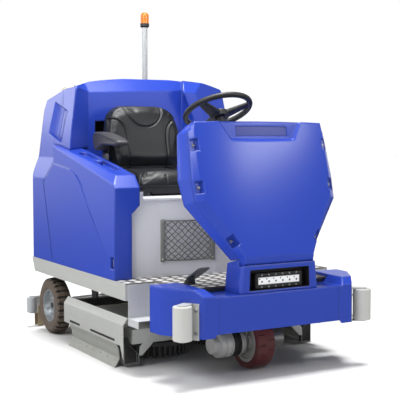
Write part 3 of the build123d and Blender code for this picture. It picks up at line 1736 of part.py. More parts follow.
def brush_motors():
    """Pair of upright motors on the deck, with a flange and end bell."""
    low = deck_top
    top = low + brush_motor_height
    motor = rod((brush_x, brush_station, low), (brush_x, brush_station, low + 12), brush_motor_radius + 10)
    motor += rod((brush_x, brush_station, low), (brush_x, brush_station, top - 20), brush_motor_radius)
    motor += rod((brush_x, brush_station, low), (brush_x, brush_station, top), brush_motor_radius - 10)
    return pair(motor)


# Rear squeegee


def squeegee_arc(offset, low, high, thick):
    """Bowed strip of the squeegee's plan, offset back from its centre line."""
    ends = squeegee_end_s + offset
    mid = squeegee_mid_s + offset
    half = squeegee_end_half
    front_edge = ThreePointArc((-half, back(ends), low), (0, back(mid), low), (half, back(ends), low))
    rear_edge = ThreePointArc(
        (half, back(ends + thick), low), (0, back(mid + thick), low), (-half, back(ends + thick), low)
    )
    right = Line((half, back(ends), low), (half, back(ends + thick), low))
    left = Line((-half, back(ends + thick), low), (-half, back(ends), low))
    return extrude(make_face(front_edge + right + rear_edge + left), amount=high - low, dir=(0, 0, 1))


def squeegee_body():
    """Bowed casting with a top rib, hose spigot and roller forks at its ends."""
    half = squeegee_depth / 2
    body = squeegee_arc(-half, squeegee_low, squeegee_high, squeegee_depth)
    body += squeegee_arc(-6, squeegee_high, squeegee_high + 12, 12)
    spigot = rod((0, squeegee_mid_s, squeegee_high), (0, squeegee_mid_s, squeegee_high + 64), 34)
    body += spigot
    body -= rod((0, squeegee_mid_s, squeegee_low - 5), (0, squeegee_mid_s, squeegee_high + 70), 27)
    half_tall = tail_roller_height / 2 + slide_gap
    place_x = squeegee_end_half + tail_roller_radius + 6
    for side in (-1, 1):
        for level in (-1, 1):
            z = tail_roller_z + level * (half_tall + 3)
            inner = side * (squeegee_end_half - 30)
            outer = side * (place_x + 10)
            body += block(
                min(inner, outer), max(inner, outer), squeegee_end_s - 12, squeegee_end_s + 12, z - 3, z + 3
            )
        post_in = side * (squeegee_end_half - 30)
        post_out = side * squeegee_end_half
        body += block(
            min(post_in, post_out), max(post_in, post_out), squeegee_end_s - 12, squeegee_end_s + 12,
            tail_roller_z - half_tall - 6, tail_roller_z + half_tall + 6,
        )
        body += rod(
            (side * place_x, squeegee_end_s, tail_roller_z - half_tall - 6),
            (side * place_x, squeegee_end_s, tail_roller_z + half_tall + 6),
            tail_roller_pin,
        )
    return body


def squeegee_blades():
    """Front and rear rubber blades along the bow."""
    half = squeegee_depth / 2
    front = squeegee_arc(-half - squeegee_blade, floor_gap, squeegee_high - 6, squeegee_blade)
    rear = squeegee_arc(half, floor_gap, squeegee_high - 6, squeegee_blade)
    return Compound(children=[front, rear])


def tail_roller():
    """Left end roller of the squeegee."""
    place_x = squeegee_end_half + tail_roller_radius + 6
    barrel = Cylinder(tail_roller_radius, tail_roller_height)
    barrel = fillet(barrel.edges().filter_by(GeomType.CIRCLE), 4)
    barrel -= Cylinder(tail_roller_pin + running, tail_roller_height + 2)
    return Pos(place_x, back(squeegee_end_s), tail_roller_z) * barrel


def squeegee_arm():
    """Twin lift arms with bored heads, joined by a cross tie over the squeegee."""
    foot_z = squeegee_high + 12
    arm = None
    for side in (-1, 1):
        low = min(side * lift_arm_x, side * (lift_arm_x + lift_arm_sheet))
        profile = [
            (lift_pivot_s - 22, lift_pivot_z - 14),
            (lift_pivot_s - 22, lift_pivot_z + 16),
            (lift_pivot_s + 8, lift_pivot_z + 24),
            (squeegee_mid_s - 10, foot_z + 60),
            (squeegee_mid_s + 16, foot_z + 30),
            (squeegee_mid_s + 16, foot_z),
            (squeegee_mid_s - 40, foot_z),
            (lift_pivot_s + 60, lift_pivot_z - 80),
        ]
        cheek = side_prism(profile, low, low + lift_arm_sheet)
        arm = cheek if arm is None else arm + cheek
    arm += block(-lift_arm_x, lift_arm_x, lift_pivot_s + 60, lift_pivot_s + 76, lift_pivot_z - 70, lift_pivot_z - 40)
    reach = lift_arm_x + lift_arm_sheet + 20
    arm -= rod(
        (-reach, lift_pivot_s, lift_pivot_z), (reach, lift_pivot_s, lift_pivot_z), lift_pin + running
    )
    return arm


def vacuum_motor():
    """Suction motor standing on the platform inside the rear body."""
    can = rod(
        (vacuum_x, vacuum_station, platform_top), (vacuum_x, vacuum_station, platform_top + vacuum_height),
        vacuum_radius,
    )
    return can


def write(name, shape):
    """Store one node."""
    export_step(shape, f"parts/{name}.step")


def main():
    os.makedirs("parts", exist_ok=True)
    nodes = {
        "chassis_frame": chassis_frame(),
        "floor_plate": floor_plate(),
        "side_skirts": side_skirts(),
        "steps": steps(),
        "bumper": bumper(),
        "roller_brackets": roller_brackets(),
        "bumper_roller_left": bumper_roller(),
        "bumper_roller_right": mirrored(bumper_roller()),
        "slew_ring": slew_ring(),
        "drive_yoke": drive_yoke(),
        "drive_motor": drive_motor(),
        "drive_hub": drive_hub(),
        "drive_tyre": drive_tyre(),
        "rear_axle": rear_axle(),
        "rim_left": rim(),
        "rim_right": mirrored(rim()),
        "tyre_left": rear_tyre(),
        "tyre_right": mirrored(rear_tyre()),
        "side_tank_right": side_tank_right(),
        "side_tank_left": side_tank_left(),
        "filler_cap": filler_cap(),
        "seat_surround": seat_surround(),
        "recovery_tank": recovery_tank(),
        "tank_lid": tank_lid(),
        "beacon_mast": beacon_mast(),
        "beacon_base": beacon_base(),
        "beacon_lens": beacon_lens(),
        "battery_box": battery_box(),
        "battery_pack": battery_pack(),
        "storage_net": storage_net(),
        "seat_rails": seat_rails(),
        "seat_pan": seat_pan(),
        "seat_cushion": seat_cushion(),
        "backrest_shell": backrest_shell(),
        "backrest_pad": backrest_pad(),
        "armrest_left": armrest(),
        "armrest_right": armrest_right(),
        "front_column": front_column(),
        "front_cover": front_cover(),
        "cover_bolts": cover_bolts(),
        "cowl": cowl(),
        "led_bar": led_bar(),
        "led_lenses": led_lenses(),
        "steering_wheel": steering_wheel(),
        "steering_column": steering_column(),
        "accelerator_pedal": accelerator_pedal(),
        "pedal_bracket": pedal_bracket(),
        "deck_housing": deck_housing(),
        "side_guards": side_guards(),
        "side_squeegees": side_squeegees(),
        "splash_guards": splash_guards(),
        "brush_left": brush(),
        "brush_right": mirrored(brush()),
        "brush_motors": brush_motors(),
        "squeegee_arm": squeegee_arm(),
        "squeegee_body": squeegee_body(),
        "squeegee_blades": squeegee_blades(),
        "tail_roller_left": tail_roller(),
        "tail_roller_right": mirrored(tail_roller()),
        "vacuum_motor": vacuum_motor(),
    }
    for name, shape in nodes.items():
        write(name, shape)


main()
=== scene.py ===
import bpy
import bmesh
import json
import math
import numpy as np
from mathutils import Matrix, Vector
from mathutils.bvhtree import BVHTree


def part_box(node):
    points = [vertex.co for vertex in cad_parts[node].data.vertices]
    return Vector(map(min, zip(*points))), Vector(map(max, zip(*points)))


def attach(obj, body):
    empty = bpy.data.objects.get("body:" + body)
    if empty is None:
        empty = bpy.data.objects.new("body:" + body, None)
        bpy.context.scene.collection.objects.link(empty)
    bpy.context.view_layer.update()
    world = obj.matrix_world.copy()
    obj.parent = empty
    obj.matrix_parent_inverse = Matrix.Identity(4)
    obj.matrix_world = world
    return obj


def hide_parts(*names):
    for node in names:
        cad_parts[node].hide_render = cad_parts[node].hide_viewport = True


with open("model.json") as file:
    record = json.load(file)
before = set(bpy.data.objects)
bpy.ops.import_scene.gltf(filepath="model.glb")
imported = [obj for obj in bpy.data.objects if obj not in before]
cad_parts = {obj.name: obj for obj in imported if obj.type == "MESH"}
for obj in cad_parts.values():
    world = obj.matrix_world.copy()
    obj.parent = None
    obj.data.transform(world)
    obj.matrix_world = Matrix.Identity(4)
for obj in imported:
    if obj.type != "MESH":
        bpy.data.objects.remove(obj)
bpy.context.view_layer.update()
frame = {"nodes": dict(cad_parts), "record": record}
nodes = frame["nodes"]
print("frame loaded:", len(nodes), "nodes")


# Helpers for objects and shader nodes


def newObject(name, data):
    obj = bpy.data.objects.new(name, data)
    bpy.context.scene.collection.objects.link(obj)
    return obj


def mathNode(tree, kind, a, b=None, clamp=False):
    node = tree.nodes.new("ShaderNodeMath")
    node.operation = kind
    node.use_clamp = clamp
    for socket, value in zip(node.inputs, (a, b)):
        if value is None:
            continue
        if isinstance(value, (int, float)):
            socket.default_value = value
        else:
            tree.links.new(value, socket)
    return node.outputs[0]


def rangeNode(tree, value, low, high, newLow=0.0, newHigh=1.0, smooth=False):
    node = tree.nodes.new("ShaderNodeMapRange")
    if smooth:
        node.interpolation_type = "SMOOTHSTEP"
    tree.links.new(value, node.inputs["Value"])
    limits = {"From Min": low, "From Max": high, "To Min": newLow, "To Max": newHigh}
    for label, limit in limits.items():
        node.inputs[label].default_value = limit
    return node.outputs["Result"]


def noiseNode(tree, vector, scale, detail):
    node = tree.nodes.new("ShaderNodeTexNoise")
    node.inputs["Detail"].default_value = detail
    tree.links.new(vector, node.inputs["Vector"])
    if isinstance(scale, (int, float)):
        node.inputs["Scale"].default_value = scale
    else:
        tree.links.new(scale, node.inputs["Scale"])
    return node.outputs["Fac"]


def objectPlace(tree):
    return tree.nodes.new("ShaderNodeTexCoord").outputs["Object"]


# Camera, floor and studio light

shot = {
    "eye": (-2.661, -4.808, 1.172),
    "yaw": 30.02,          # degrees to the machine's left of straight back
    "pitch": 3.52,         # degrees down
    "lens": 84.4,
    "sensor": 36.0,
}

studio = {
    "floorSize": 120.0,
    "floorNear": 0.84,           # brightness of the paper round the machine and far from it
    "floorFar": 0.95,
    "paperFade": (2.5, 6.0),     # metres from the machine, end of the near paper and start of the far
    "paperRough": 0.9,
    "paperShine": 0.1,
    "horizon": 1.0,              # brightness of the low white wall all round
    "wallTop": (0.16, 0.24),     # upward share of a ray where the wall fades into the room
    "room": 0.05,                # brightness of the room above it
    "under": 0.08,               # share of the wall that covers mirror from below the horizon
    "underFade": (-0.10, -0.03),
    "sunPlace": (0.18, 0.12, 1.50),
    "sunSpread": 20.0,
    "sunPower": 3.2,
    # name, place, width, height, power, aim
    "boxes": [
        ("sideBox", (-3.6, -2.0, 3.2), 1.8, 1.6, 74.0, (-0.2, -0.4, 0.9)),
        ("leftBox", (-4.0, 0.0, 3.4), 2.2, 1.4, 58.0, (-0.4, 0.1, 1.0)),
        ("rearBox", (-1.9, 4.2, 2.7), 3.8, 2.2, 46.0, (-0.5, 0.4, 1.3)),
        ("frontBox", (1.70, -2.84, 2.48), 1.4, 0.45, 23.0, (0.0, -0.95, 1.1)),
        ("topBox", (-0.4, -0.6, 2.9), 1.6, 1.4, 50.0, (-0.2, 0.1, 0.9)),
    ],
}


def addBox(name, place, width, height, power, aim):
    lamp = bpy.data.lights.new(name, "AREA")
    lamp.shape = "RECTANGLE"
    lamp.size = width
    lamp.size_y = height
    lamp.energy = power
    obj = newObject(name, lamp)
    obj.location = place
    obj.rotation_euler = (Vector(aim) - Vector(place)).to_track_quat("-Z", "Y").to_euler()


def paleRoom():
    world = bpy.data.worlds.new("paleRoom")
    world.use_nodes = True
    tree = world.node_tree
    sky = tree.nodes["Background"]
    sky.inputs["Color"].default_value = (1, 1, 1, 1)
    split = tree.nodes.new("ShaderNodeSeparateXYZ")
    tree.links.new(tree.nodes.new("ShaderNodeTexCoord").outputs["Generated"], split.inputs["Vector"])
    rise = split.outputs["Z"]
    wall = rangeNode(tree, rise, *studio["wallTop"], studio["horizon"], studio["room"], smooth=True)
    under = rangeNode(tree, rise, *studio["underFade"], studio["under"], 1.0)
    tree.links.new(mathNode(tree, "MULTIPLY", wall, under), sky.inputs["Strength"])
    return world


def makePaper():
    paper = bpy.data.materials.new("studioPaper")
    paper.use_nodes = True
    tree = paper.node_tree
    shader = tree.nodes["Principled BSDF"]
    far = tree.nodes.new("ShaderNodeVectorMath")
    far.operation = "LENGTH"
    tree.links.new(objectPlace(tree), far.inputs[0])
    tones = studio["floorNear"], studio["floorFar"]
    tone = rangeNode(tree, far.outputs["Value"], *studio["paperFade"], *tones, smooth=True)
    tree.links.new(tone, shader.inputs["Base Color"])
    shader.inputs["Roughness"].default_value = studio["paperRough"]
    shader.inputs["Specular IOR Level"].default_value = studio["paperShine"]
    return paper


def setStage():
    scene = bpy.context.scene
    camera = bpy.data.cameras.new("photoCamera")
    camera.lens = shot["lens"]
    camera.sensor_width = shot["sensor"]
    eye = newObject("photoCamera", camera)
    eye.location = shot["eye"]
    eye.rotation_euler = (math.radians(90 - shot["pitch"]), 0, -math.radians(shot["yaw"]))
    scene.camera = eye
    scene.world = paleRoom()
    scene.view_settings.view_transform = "Standard"
    half = studio["floorSize"] / 2
    corners = [(-half, -half, 0), (half, -half, 0), (half, half, 0), (-half, half, 0)]
    mesh = bpy.data.meshes.new("studioFloor")
    mesh.from_pydata(corners, [], [(0, 1, 2, 3)])
    mesh.materials.append(makePaper())
    floor = newObject("studioFloor", mesh)
    floor.visible_glossy = False   # covers mirror the dark under the horizon, not the paper
    for box in studio["boxes"]:
        addBox(*box)
    lamp = bpy.data.lights.new("ceilingLight", "SUN")
    lamp.energy = studio["sunPower"]
    lamp.angle = math.radians(studio["sunSpread"])
    sun = newObject("ceilingLight", lamp)
    sun.rotation_euler = Vector(studio["sunPlace"]).to_track_quat("Z", "Y").to_euler()


setStage()
print("stage set")


# Shader groups shared by the finishes

surface = {
    "bevelSamples": 6,
    "edgeTurn": (1.0, 0.8),      # cosine from a face's normal to its soft one, on the flat and on an edge
    "grainDetail": 1.0,
    "cloudDetail": 3.0,
    "brushDetail": 3.0,
    "streak": (0.3, 0.7),        # noise where a streak starts, and where it is full
    "patchScale": 14.0,
    "patchDetail": 6.0,
    "patch": (0.35, 0.75),       # noise where a patch of dust starts, and where it is full
}


def newGroup(name, inputs, outputs):
    tree = bpy.data.node_groups.new(name, "ShaderNodeTree")
    for label, value in inputs:
        socket = tree.interface.new_socket(label, in_out="INPUT", socket_type="NodeSocketFloat")
        socket.default_value = value
    for label, kind in outputs:
        tree.interface.new_socket(label, in_out="OUTPUT", socket_type=kind)
    return tree, tree.nodes.new("NodeGroupInput"), tree.nodes.new("NodeGroupOutput")


def makeSoftEdges():
    tree, inside, out = newGroup(
        "softEdges", [("Radius", 0.006)], [("Normal", "NodeSocketVector"), ("Edge", "NodeSocketFloat")]
    )
    bevel = tree.nodes.new("ShaderNodeBevel")
    bevel.samples = surface["bevelSamples"]
    tree.links.new(inside.outputs["Radius"], bevel.inputs["Radius"])
    face = tree.nodes.new("ShaderNodeNewGeometry")
    dot = tree.nodes.new("ShaderNodeVectorMath")
    dot.operation = "DOT_PRODUCT"
    tree.links.new(bevel.outputs["Normal"], dot.inputs[0])
    tree.links.new(face.outputs["Normal"], dot.inputs[1])
    tree.links.new(bevel.outputs["Normal"], out.inputs["Normal"])
    tree.links.new(rangeNode(tree, dot.outputs["Value"], *surface["edgeTurn"]), out.inputs["Edge"])
    return tree


def makeMouldGrain():
    tree, inside, out = newGroup(
        "mouldGrain", [("Fine", 900.0), ("Broad", 3.0)],
        [("Height", "NodeSocketFloat"), ("Cloud", "NodeSocketFloat")],
    )
    place = objectPlace(tree)
    fine = noiseNode(tree, place, inside.outputs["Fine"], surface["grainDetail"])
    broad = noiseNode(tree, place, inside.outputs["Broad"], surface["cloudDetail"])
    tree.links.new(fine, out.inputs["Height"])
    tree.links.new(broad, out.inputs["Cloud"])
    return tree


def makeBrushedGrain():
    tree, inside, out = newGroup(
        "brushedGrain", [("Along", 4.0), ("Across", 420.0)],
        [("Height", "NodeSocketFloat"), ("Streak", "NodeSocketFloat")],
    )
    place = objectPlace(tree)
    scale = tree.nodes.new("ShaderNodeCombineXYZ")
    tree.links.new(inside.outputs["Across"], scale.inputs["X"])
    tree.links.new(inside.outputs["Along"], scale.inputs["Y"])
    tree.links.new(inside.outputs["Across"], scale.inputs["Z"])
    stretch = tree.nodes.new("ShaderNodeVectorMath")
    stretch.operation = "MULTIPLY"
    tree.links.new(place, stretch.inputs[0])
    tree.links.new(scale.outputs["Vector"], stretch.inputs[1])
    grain = noiseNode(tree, stretch.outputs["Vector"], 1.0, surface["brushDetail"])
    tree.links.new(grain, out.inputs["Height"])
    tree.links.new(rangeNode(tree, grain, *surface["streak"]), out.inputs["Streak"])
    return tree


def makeFloorDust():
    tree, inside, out = newGroup(
        "floorDust", [("Reach", 0.35), ("Amount", 0.5)], [("Mask", "NodeSocketFloat")]
    )
    place = objectPlace(tree)
    split = tree.nodes.new("ShaderNodeSeparateXYZ")
    tree.links.new(place, split.inputs["Vector"])
    height = mathNode(tree, "DIVIDE", split.outputs["Z"], inside.outputs["Reach"], clamp=True)
    low = mathNode(tree, "SUBTRACT", 1.0, height)
    speckle = noiseNode(tree, place, surface["patchScale"], surface["patchDetail"])
    patch = rangeNode(tree, speckle, *surface["patch"])
    spread = mathNode(tree, "MULTIPLY", low, patch)
    mask = mathNode(tree, "MULTIPLY", spread, inside.outputs["Amount"], clamp=True)
    tree.links.new(mask, out.inputs["Mask"])
    return tree


# stripes of painted shade in the tyre's tread grooves
def makeGrooveShadeMask():
    tree, inside, out = newGroup(
        "lugMask", [("AxleY", 0.0), ("AxleZ", 0.0), ("Inner", 0.1), ("Count", 24.0), ("Groove", 0.4)],
        [("Mask", "NodeSocketFloat")],
    )
    place = objectPlace(tree)
    split = tree.nodes.new("ShaderNodeSeparateXYZ")
    tree.links.new(place, split.inputs["Vector"])
    y = mathNode(tree, "SUBTRACT", split.outputs["Y"], inside.outputs["AxleY"])
    z = mathNode(tree, "SUBTRACT", split.outputs["Z"], inside.outputs["AxleZ"])
    turn = mathNode(tree, "MULTIPLY", mathNode(tree, "ARCTAN2", z, y), 0.5 / math.pi)
    step = mathNode(tree, "FRACT", mathNode(tree, "MULTIPLY", turn, inside.outputs["Count"]))
    groove = mathNode(tree, "LESS_THAN", step, inside.outputs["Groove"])
    square = mathNode(tree, "ADD", mathNode(tree, "POWER", y, 2.0), mathNode(tree, "POWER", z, 2.0))
    far = mathNode(tree, "SQRT", square)
    edge = mathNode(tree, "GREATER_THAN", far, inside.outputs["Inner"])
    tree.links.new(mathNode(tree, "MULTIPLY", groove, edge), out.inputs["Mask"])
    return tree


softEdges = makeSoftEdges()
lugMask = makeGrooveShadeMask()
mouldGrain = makeMouldGrain()
brushedGrain = makeBrushedGrain()
floorDust = makeFloorDust()
print("shader groups ready")


# Finishes, for the material slots of the record and for pieces that have their own
# base clouds into dark, the edge colour shows on edges (wear, and on the smoke flap a painted highlight),
# edge is their soft radius in metres, dust grows downwards

finishes = {
    "blue_plastic": {"base": (0.020, 0.052, 0.390), "rough": 0.25, "edge": 0.014,
                     "wearAndHighlight": (0.04, 0.09, 0.52), "grain": 700.0, "bump": 0.02},
    "stainless": {"base": (0.54, 0.55, 0.53), "dark": (0.47, 0.48, 0.46), "rough": 0.46, "edge": 0.002,
                  "wearAndHighlight": (0.62, 0.63, 0.62), "brushed": True, "metal": 0.35, "bump": 0.03, "dust": 0.2},
    "grey_panel": {"base": (0.68, 0.69, 0.71), "dark": (0.62, 0.63, 0.65), "rough": 0.45, "edge": 0.003,
                   "wearAndHighlight": (0.76, 0.77, 0.79), "grain": 900.0, "bump": 0.04},
    "black_metal": {"base": (0.022, 0.022, 0.024), "dark": (0.012, 0.012, 0.013), "rough": 0.48,
                    "edge": 0.003, "wearAndHighlight": (0.10, 0.10, 0.10), "grain": 600.0, "bump": 0.06, "dust": 0.30},
    "black_plastic": {"base": (0.016, 0.016, 0.018), "dark": (0.010, 0.010, 0.011), "rough": 0.50,
                      "edge": 0.004, "wearAndHighlight": (0.06, 0.06, 0.06), "grain": 420.0, "bump": 0.12},
    "black_rubber": {"base": (0.020, 0.020, 0.020), "dark": (0.012, 0.012, 0.012), "rough": 0.72,
                     "edge": 0.003, "wearAndHighlight": (0.06, 0.06, 0.06), "grain": 300.0, "bump": 0.15, "dust": 0.4},
    "seat_vinyl": {"base": (0.008, 0.009, 0.011), "dark": (0.006, 0.007, 0.008), "rough": 0.40, "edge": 0.002,
                   "wearAndHighlight": (0.016, 0.017, 0.019), "grain": 260.0, "bump": 0.12, "shine": 0.42},
    "arm_vinyl": {"base": (0.042, 0.041, 0.044), "dark": (0.034, 0.033, 0.036), "rough": 0.44, "edge": 0.003,
                  "wearAndHighlight": (0.10, 0.10, 0.10), "grain": 260.0, "bump": 0.12},
    "brown_tyre": {"base": (0.120, 0.088, 0.066), "dark": (0.080, 0.058, 0.044), "rough": 0.70, "edge": 0.003,
                   "wearAndHighlight": (0.18, 0.14, 0.11), "grain": 220.0, "bump": 0.15, "dust": 0.2, "lugGrooveShade": True},
    "red_tyre": {"base": (0.120, 0.018, 0.022), "dark": (0.085, 0.013, 0.016), "rough": 0.55, "edge": 0.003,
                 "wearAndHighlight": (0.16, 0.04, 0.04), "grain": 220.0, "bump": 0.12, "dust": 0.12},
    "rim_metal": {"base": (0.70, 0.74, 0.77), "dark": (0.58, 0.62, 0.65), "rough": 0.28, "edge": 0.003,
                  "wearAndHighlight": (0.74, 0.76, 0.78), "grain": 240.0, "bump": 0.05, "metal": 0.85, "dust": 0.15},
    "pale_roller": {"base": (0.50, 0.50, 0.48), "dark": (0.44, 0.44, 0.42), "rough": 0.46, "edge": 0.004,
                    "wearAndHighlight": (0.66, 0.66, 0.64), "grain": 500.0, "bump": 0.05, "dust": 0.12},
    "grey_roller": {"base": (0.42, 0.44, 0.46), "dark": (0.34, 0.36, 0.38), "rough": 0.48, "edge": 0.003,
                    "wearAndHighlight": (0.55, 0.56, 0.57), "grain": 500.0, "bump": 0.06, "dust": 0.25},
    "cream_lid": {"base": (0.60, 0.58, 0.50), "dark": (0.52, 0.50, 0.42), "rough": 0.45, "edge": 0.004,
                  "wearAndHighlight": (0.70, 0.68, 0.60), "grain": 500.0, "bump": 0.06},
    "net_cord": {"base": (0.150, 0.145, 0.132), "dark": (0.100, 0.097, 0.088), "rough": 0.78, "edge": 0.002,
                 "wearAndHighlight": (0.20, 0.195, 0.18), "grain": 1200.0, "bump": 0.2},
    # its pale edge colour is a painted highlight along the edges of the clear flap
    "smoke_flap": {"base": (0.010, 0.010, 0.011), "dark": (0.007, 0.007, 0.008), "rough": 0.30, "edge": 0.006,
                   "wearAndHighlight": (0.62, 0.64, 0.66), "grain": 300.0, "bump": 0.03, "dust": 0.2},
    "pale_strip": {"base": (0.42, 0.43, 0.40), "dark": (0.36, 0.37, 0.34), "rough": 0.46, "edge": 0.002,
                   "wearAndHighlight": (0.70, 0.70, 0.66), "brushed": True, "metal": 0.35, "bump": 0.03, "dust": 0.3},
    "gum_rubber": {"base": (0.42, 0.32, 0.19), "dark": (0.32, 0.24, 0.14), "rough": 0.65, "edge": 0.002,
                   "wearAndHighlight": (0.50, 0.40, 0.26), "grain": 300.0, "bump": 0.1, "dust": 0.4},
    "bristle": {"base": (0.060, 0.062, 0.066), "dark": (0.030, 0.031, 0.034), "rough": 0.60, "edge": 0.002,
                "wearAndHighlight": (0.12, 0.12, 0.13), "grain": 600.0, "bump": 0.2, "dust": 0.3},
    "lamp_glass": {"base": (0.90, 0.92, 0.95), "dark": (0.80, 0.82, 0.86), "rough": 0.12, "edge": 0.002,
                   "wearAndHighlight": (1.0, 1.0, 1.0), "grain": 80.0, "bump": 0.1, "glow": 0.55},
    "amber_glass": {"base": (0.56, 0.16, 0.010), "dark": (0.42, 0.11, 0.008), "rough": 0.16, "edge": 0.002,
                    "wearAndHighlight": (0.80, 0.36, 0.06), "grain": 60.0, "bump": 0.05, "glow": 0.06},
    "mast_metal": {"base": (0.42, 0.43, 0.44), "dark": (0.36, 0.37, 0.38), "rough": 0.34, "edge": 0.002,
                   "wearAndHighlight": (0.70, 0.71, 0.72), "brushed": True, "metal": 0.5, "bump": 0.03},
    "cast_metal": {"base": (0.56, 0.56, 0.55), "dark": (0.46, 0.46, 0.45), "rough": 0.46, "edge": 0.003,
                   "wearAndHighlight": (0.70, 0.70, 0.69), "grain": 180.0, "bump": 0.15, "metal": 0.4, "dust": 0.15},
    "steel": {"base": (0.42, 0.42, 0.42), "dark": (0.30, 0.30, 0.30), "rough": 0.38, "edge": 0.002,
              "wearAndHighlight": (0.62, 0.62, 0.61), "grain": 320.0, "bump": 0.05, "metal": 0.8, "dust": 0.2},
    "bar_grey": {"base": (0.20, 0.205, 0.19), "dark": (0.15, 0.155, 0.14), "rough": 0.5, "edge": 0.002,
                 "wearAndHighlight": (0.32, 0.32, 0.30), "grain": 500.0, "bump": 0.06},
    # darker copy of the floor plate's stainless: painted shade between the tread pillows
    "tread_plate": {"base": (0.150, 0.140, 0.130), "dark": (0.110, 0.102, 0.095), "rough": 0.50,
                    "edge": 0.001, "wearAndHighlight": (0.30, 0.29, 0.27), "grain": 300.0, "bump": 0.05, "metal": 0.3},
    # lighter copy of the same stainless for the tread pillows: painted light on them
    "tread_metal": {"base": (0.72, 0.71, 0.69), "dark": (0.62, 0.61, 0.59), "rough": 0.36, "edge": 0.001,
                    "wearAndHighlight": (0.85, 0.84, 0.82), "grain": 300.0, "bump": 0.05, "metal": 0.35},
    # the reflector is no lamp: its glow is painted brightness
    "reflector": {"base": (0.80, 0.81, 0.82), "dark": (0.68, 0.69, 0.70), "rough": 0.20, "edge": 0.001,
                  "wearAndHighlight": (0.90, 0.90, 0.90), "grain": 80.0, "bump": 0.05, "glow": 0.15},
    "diode": {"base": (0.10, 0.10, 0.10), "dark": (0.07, 0.07, 0.07), "rough": 0.25, "edge": 0.001,
              "wearAndHighlight": (0.20, 0.20, 0.20), "grain": 80.0, "bump": 0.05},
    "plate_blue": {"base": (0.020, 0.036, 0.260), "dark": (0.015, 0.028, 0.210), "rough": 0.34, "edge": 0.001,
                   "wearAndHighlight": (0.10, 0.14, 0.45), "grain": 900.0, "bump": 0.03},
    # lighter copy of stainless for the front-facing steps: painted light
    "step_steel": {"base": (0.60, 0.61, 0.62), "dark": (0.52, 0.53, 0.54), "rough": 0.42, "edge": 0.002,
                   "wearAndHighlight": (0.75, 0.76, 0.77), "brushed": True, "metal": 0.3, "bump": 0.03},
    "hinge_grey": {"base": (0.120, 0.122, 0.130), "dark": (0.090, 0.092, 0.100), "rough": 0.40, "edge": 0.002,
                   "wearAndHighlight": (0.20, 0.20, 0.21), "grain": 500.0, "bump": 0.05},
    "pedal_grey": {"base": (0.070, 0.078, 0.092), "dark": (0.050, 0.056, 0.068), "rough": 0.38, "edge": 0.002,
                   "wearAndHighlight": (0.40, 0.41, 0.42), "grain": 500.0, "bump": 0.05, "metal": 0.4},
    "seam_shadow": {"base": (0.006, 0.010, 0.060), "dark": (0.004, 0.008, 0.045), "rough": 0.80,
                    "edge": 0.001, "wearAndHighlight": (0.008, 0.012, 0.070), "grain": 500.0, "bump": 0.02, "shine": 0.1},
}

everyFinish = {
    "edgeWearAndHighlight": 0.55,         # share of the edge colour, wear and painted highlight, on a sharp edge
    "roughVary": 0.03,
    "dustRough": 0.3,
    "grainDepth": 0.001,
    "dust": (0.30, 0.28, 0.25),
    # near-black painted shade in the tyre's tread grooves
    "groove": (0.016, 0.012, 0.010),
}

wheelLow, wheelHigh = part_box("tyre_left")
tyreLugs = {
    "AxleY": (wheelLow.y + wheelHigh.y) / 2,
    "AxleZ": (wheelLow.z + wheelHigh.z) / 2,
    "Inner": (wheelHigh.z - wheelLow.z) / 2 * 0.90,    # painted groove shade shows on the outer tenth of the tyre
    "Count": 26.0,
    "Groove": 0.36,
}


def mixColour(tree, factor, first, second):
    node = tree.nodes.new("ShaderNodeMix")
    node.data_type = "RGBA"
    tree.links.new(factor, node.inputs["Factor"])
    for socket, value in ((node.inputs[6], first), (node.inputs[7], second)):     # its colour sockets
        if isinstance(value, tuple):
            socket.default_value = (*value, 1)
        else:
            tree.links.new(value, socket)
    return node.outputs[2]


def placeGroup(tree, group, **values):
    node = tree.nodes.new("ShaderNodeGroup")
    node.node_tree = group
    for label, value in values.items():
        node.inputs[label].default_value = value
    return node


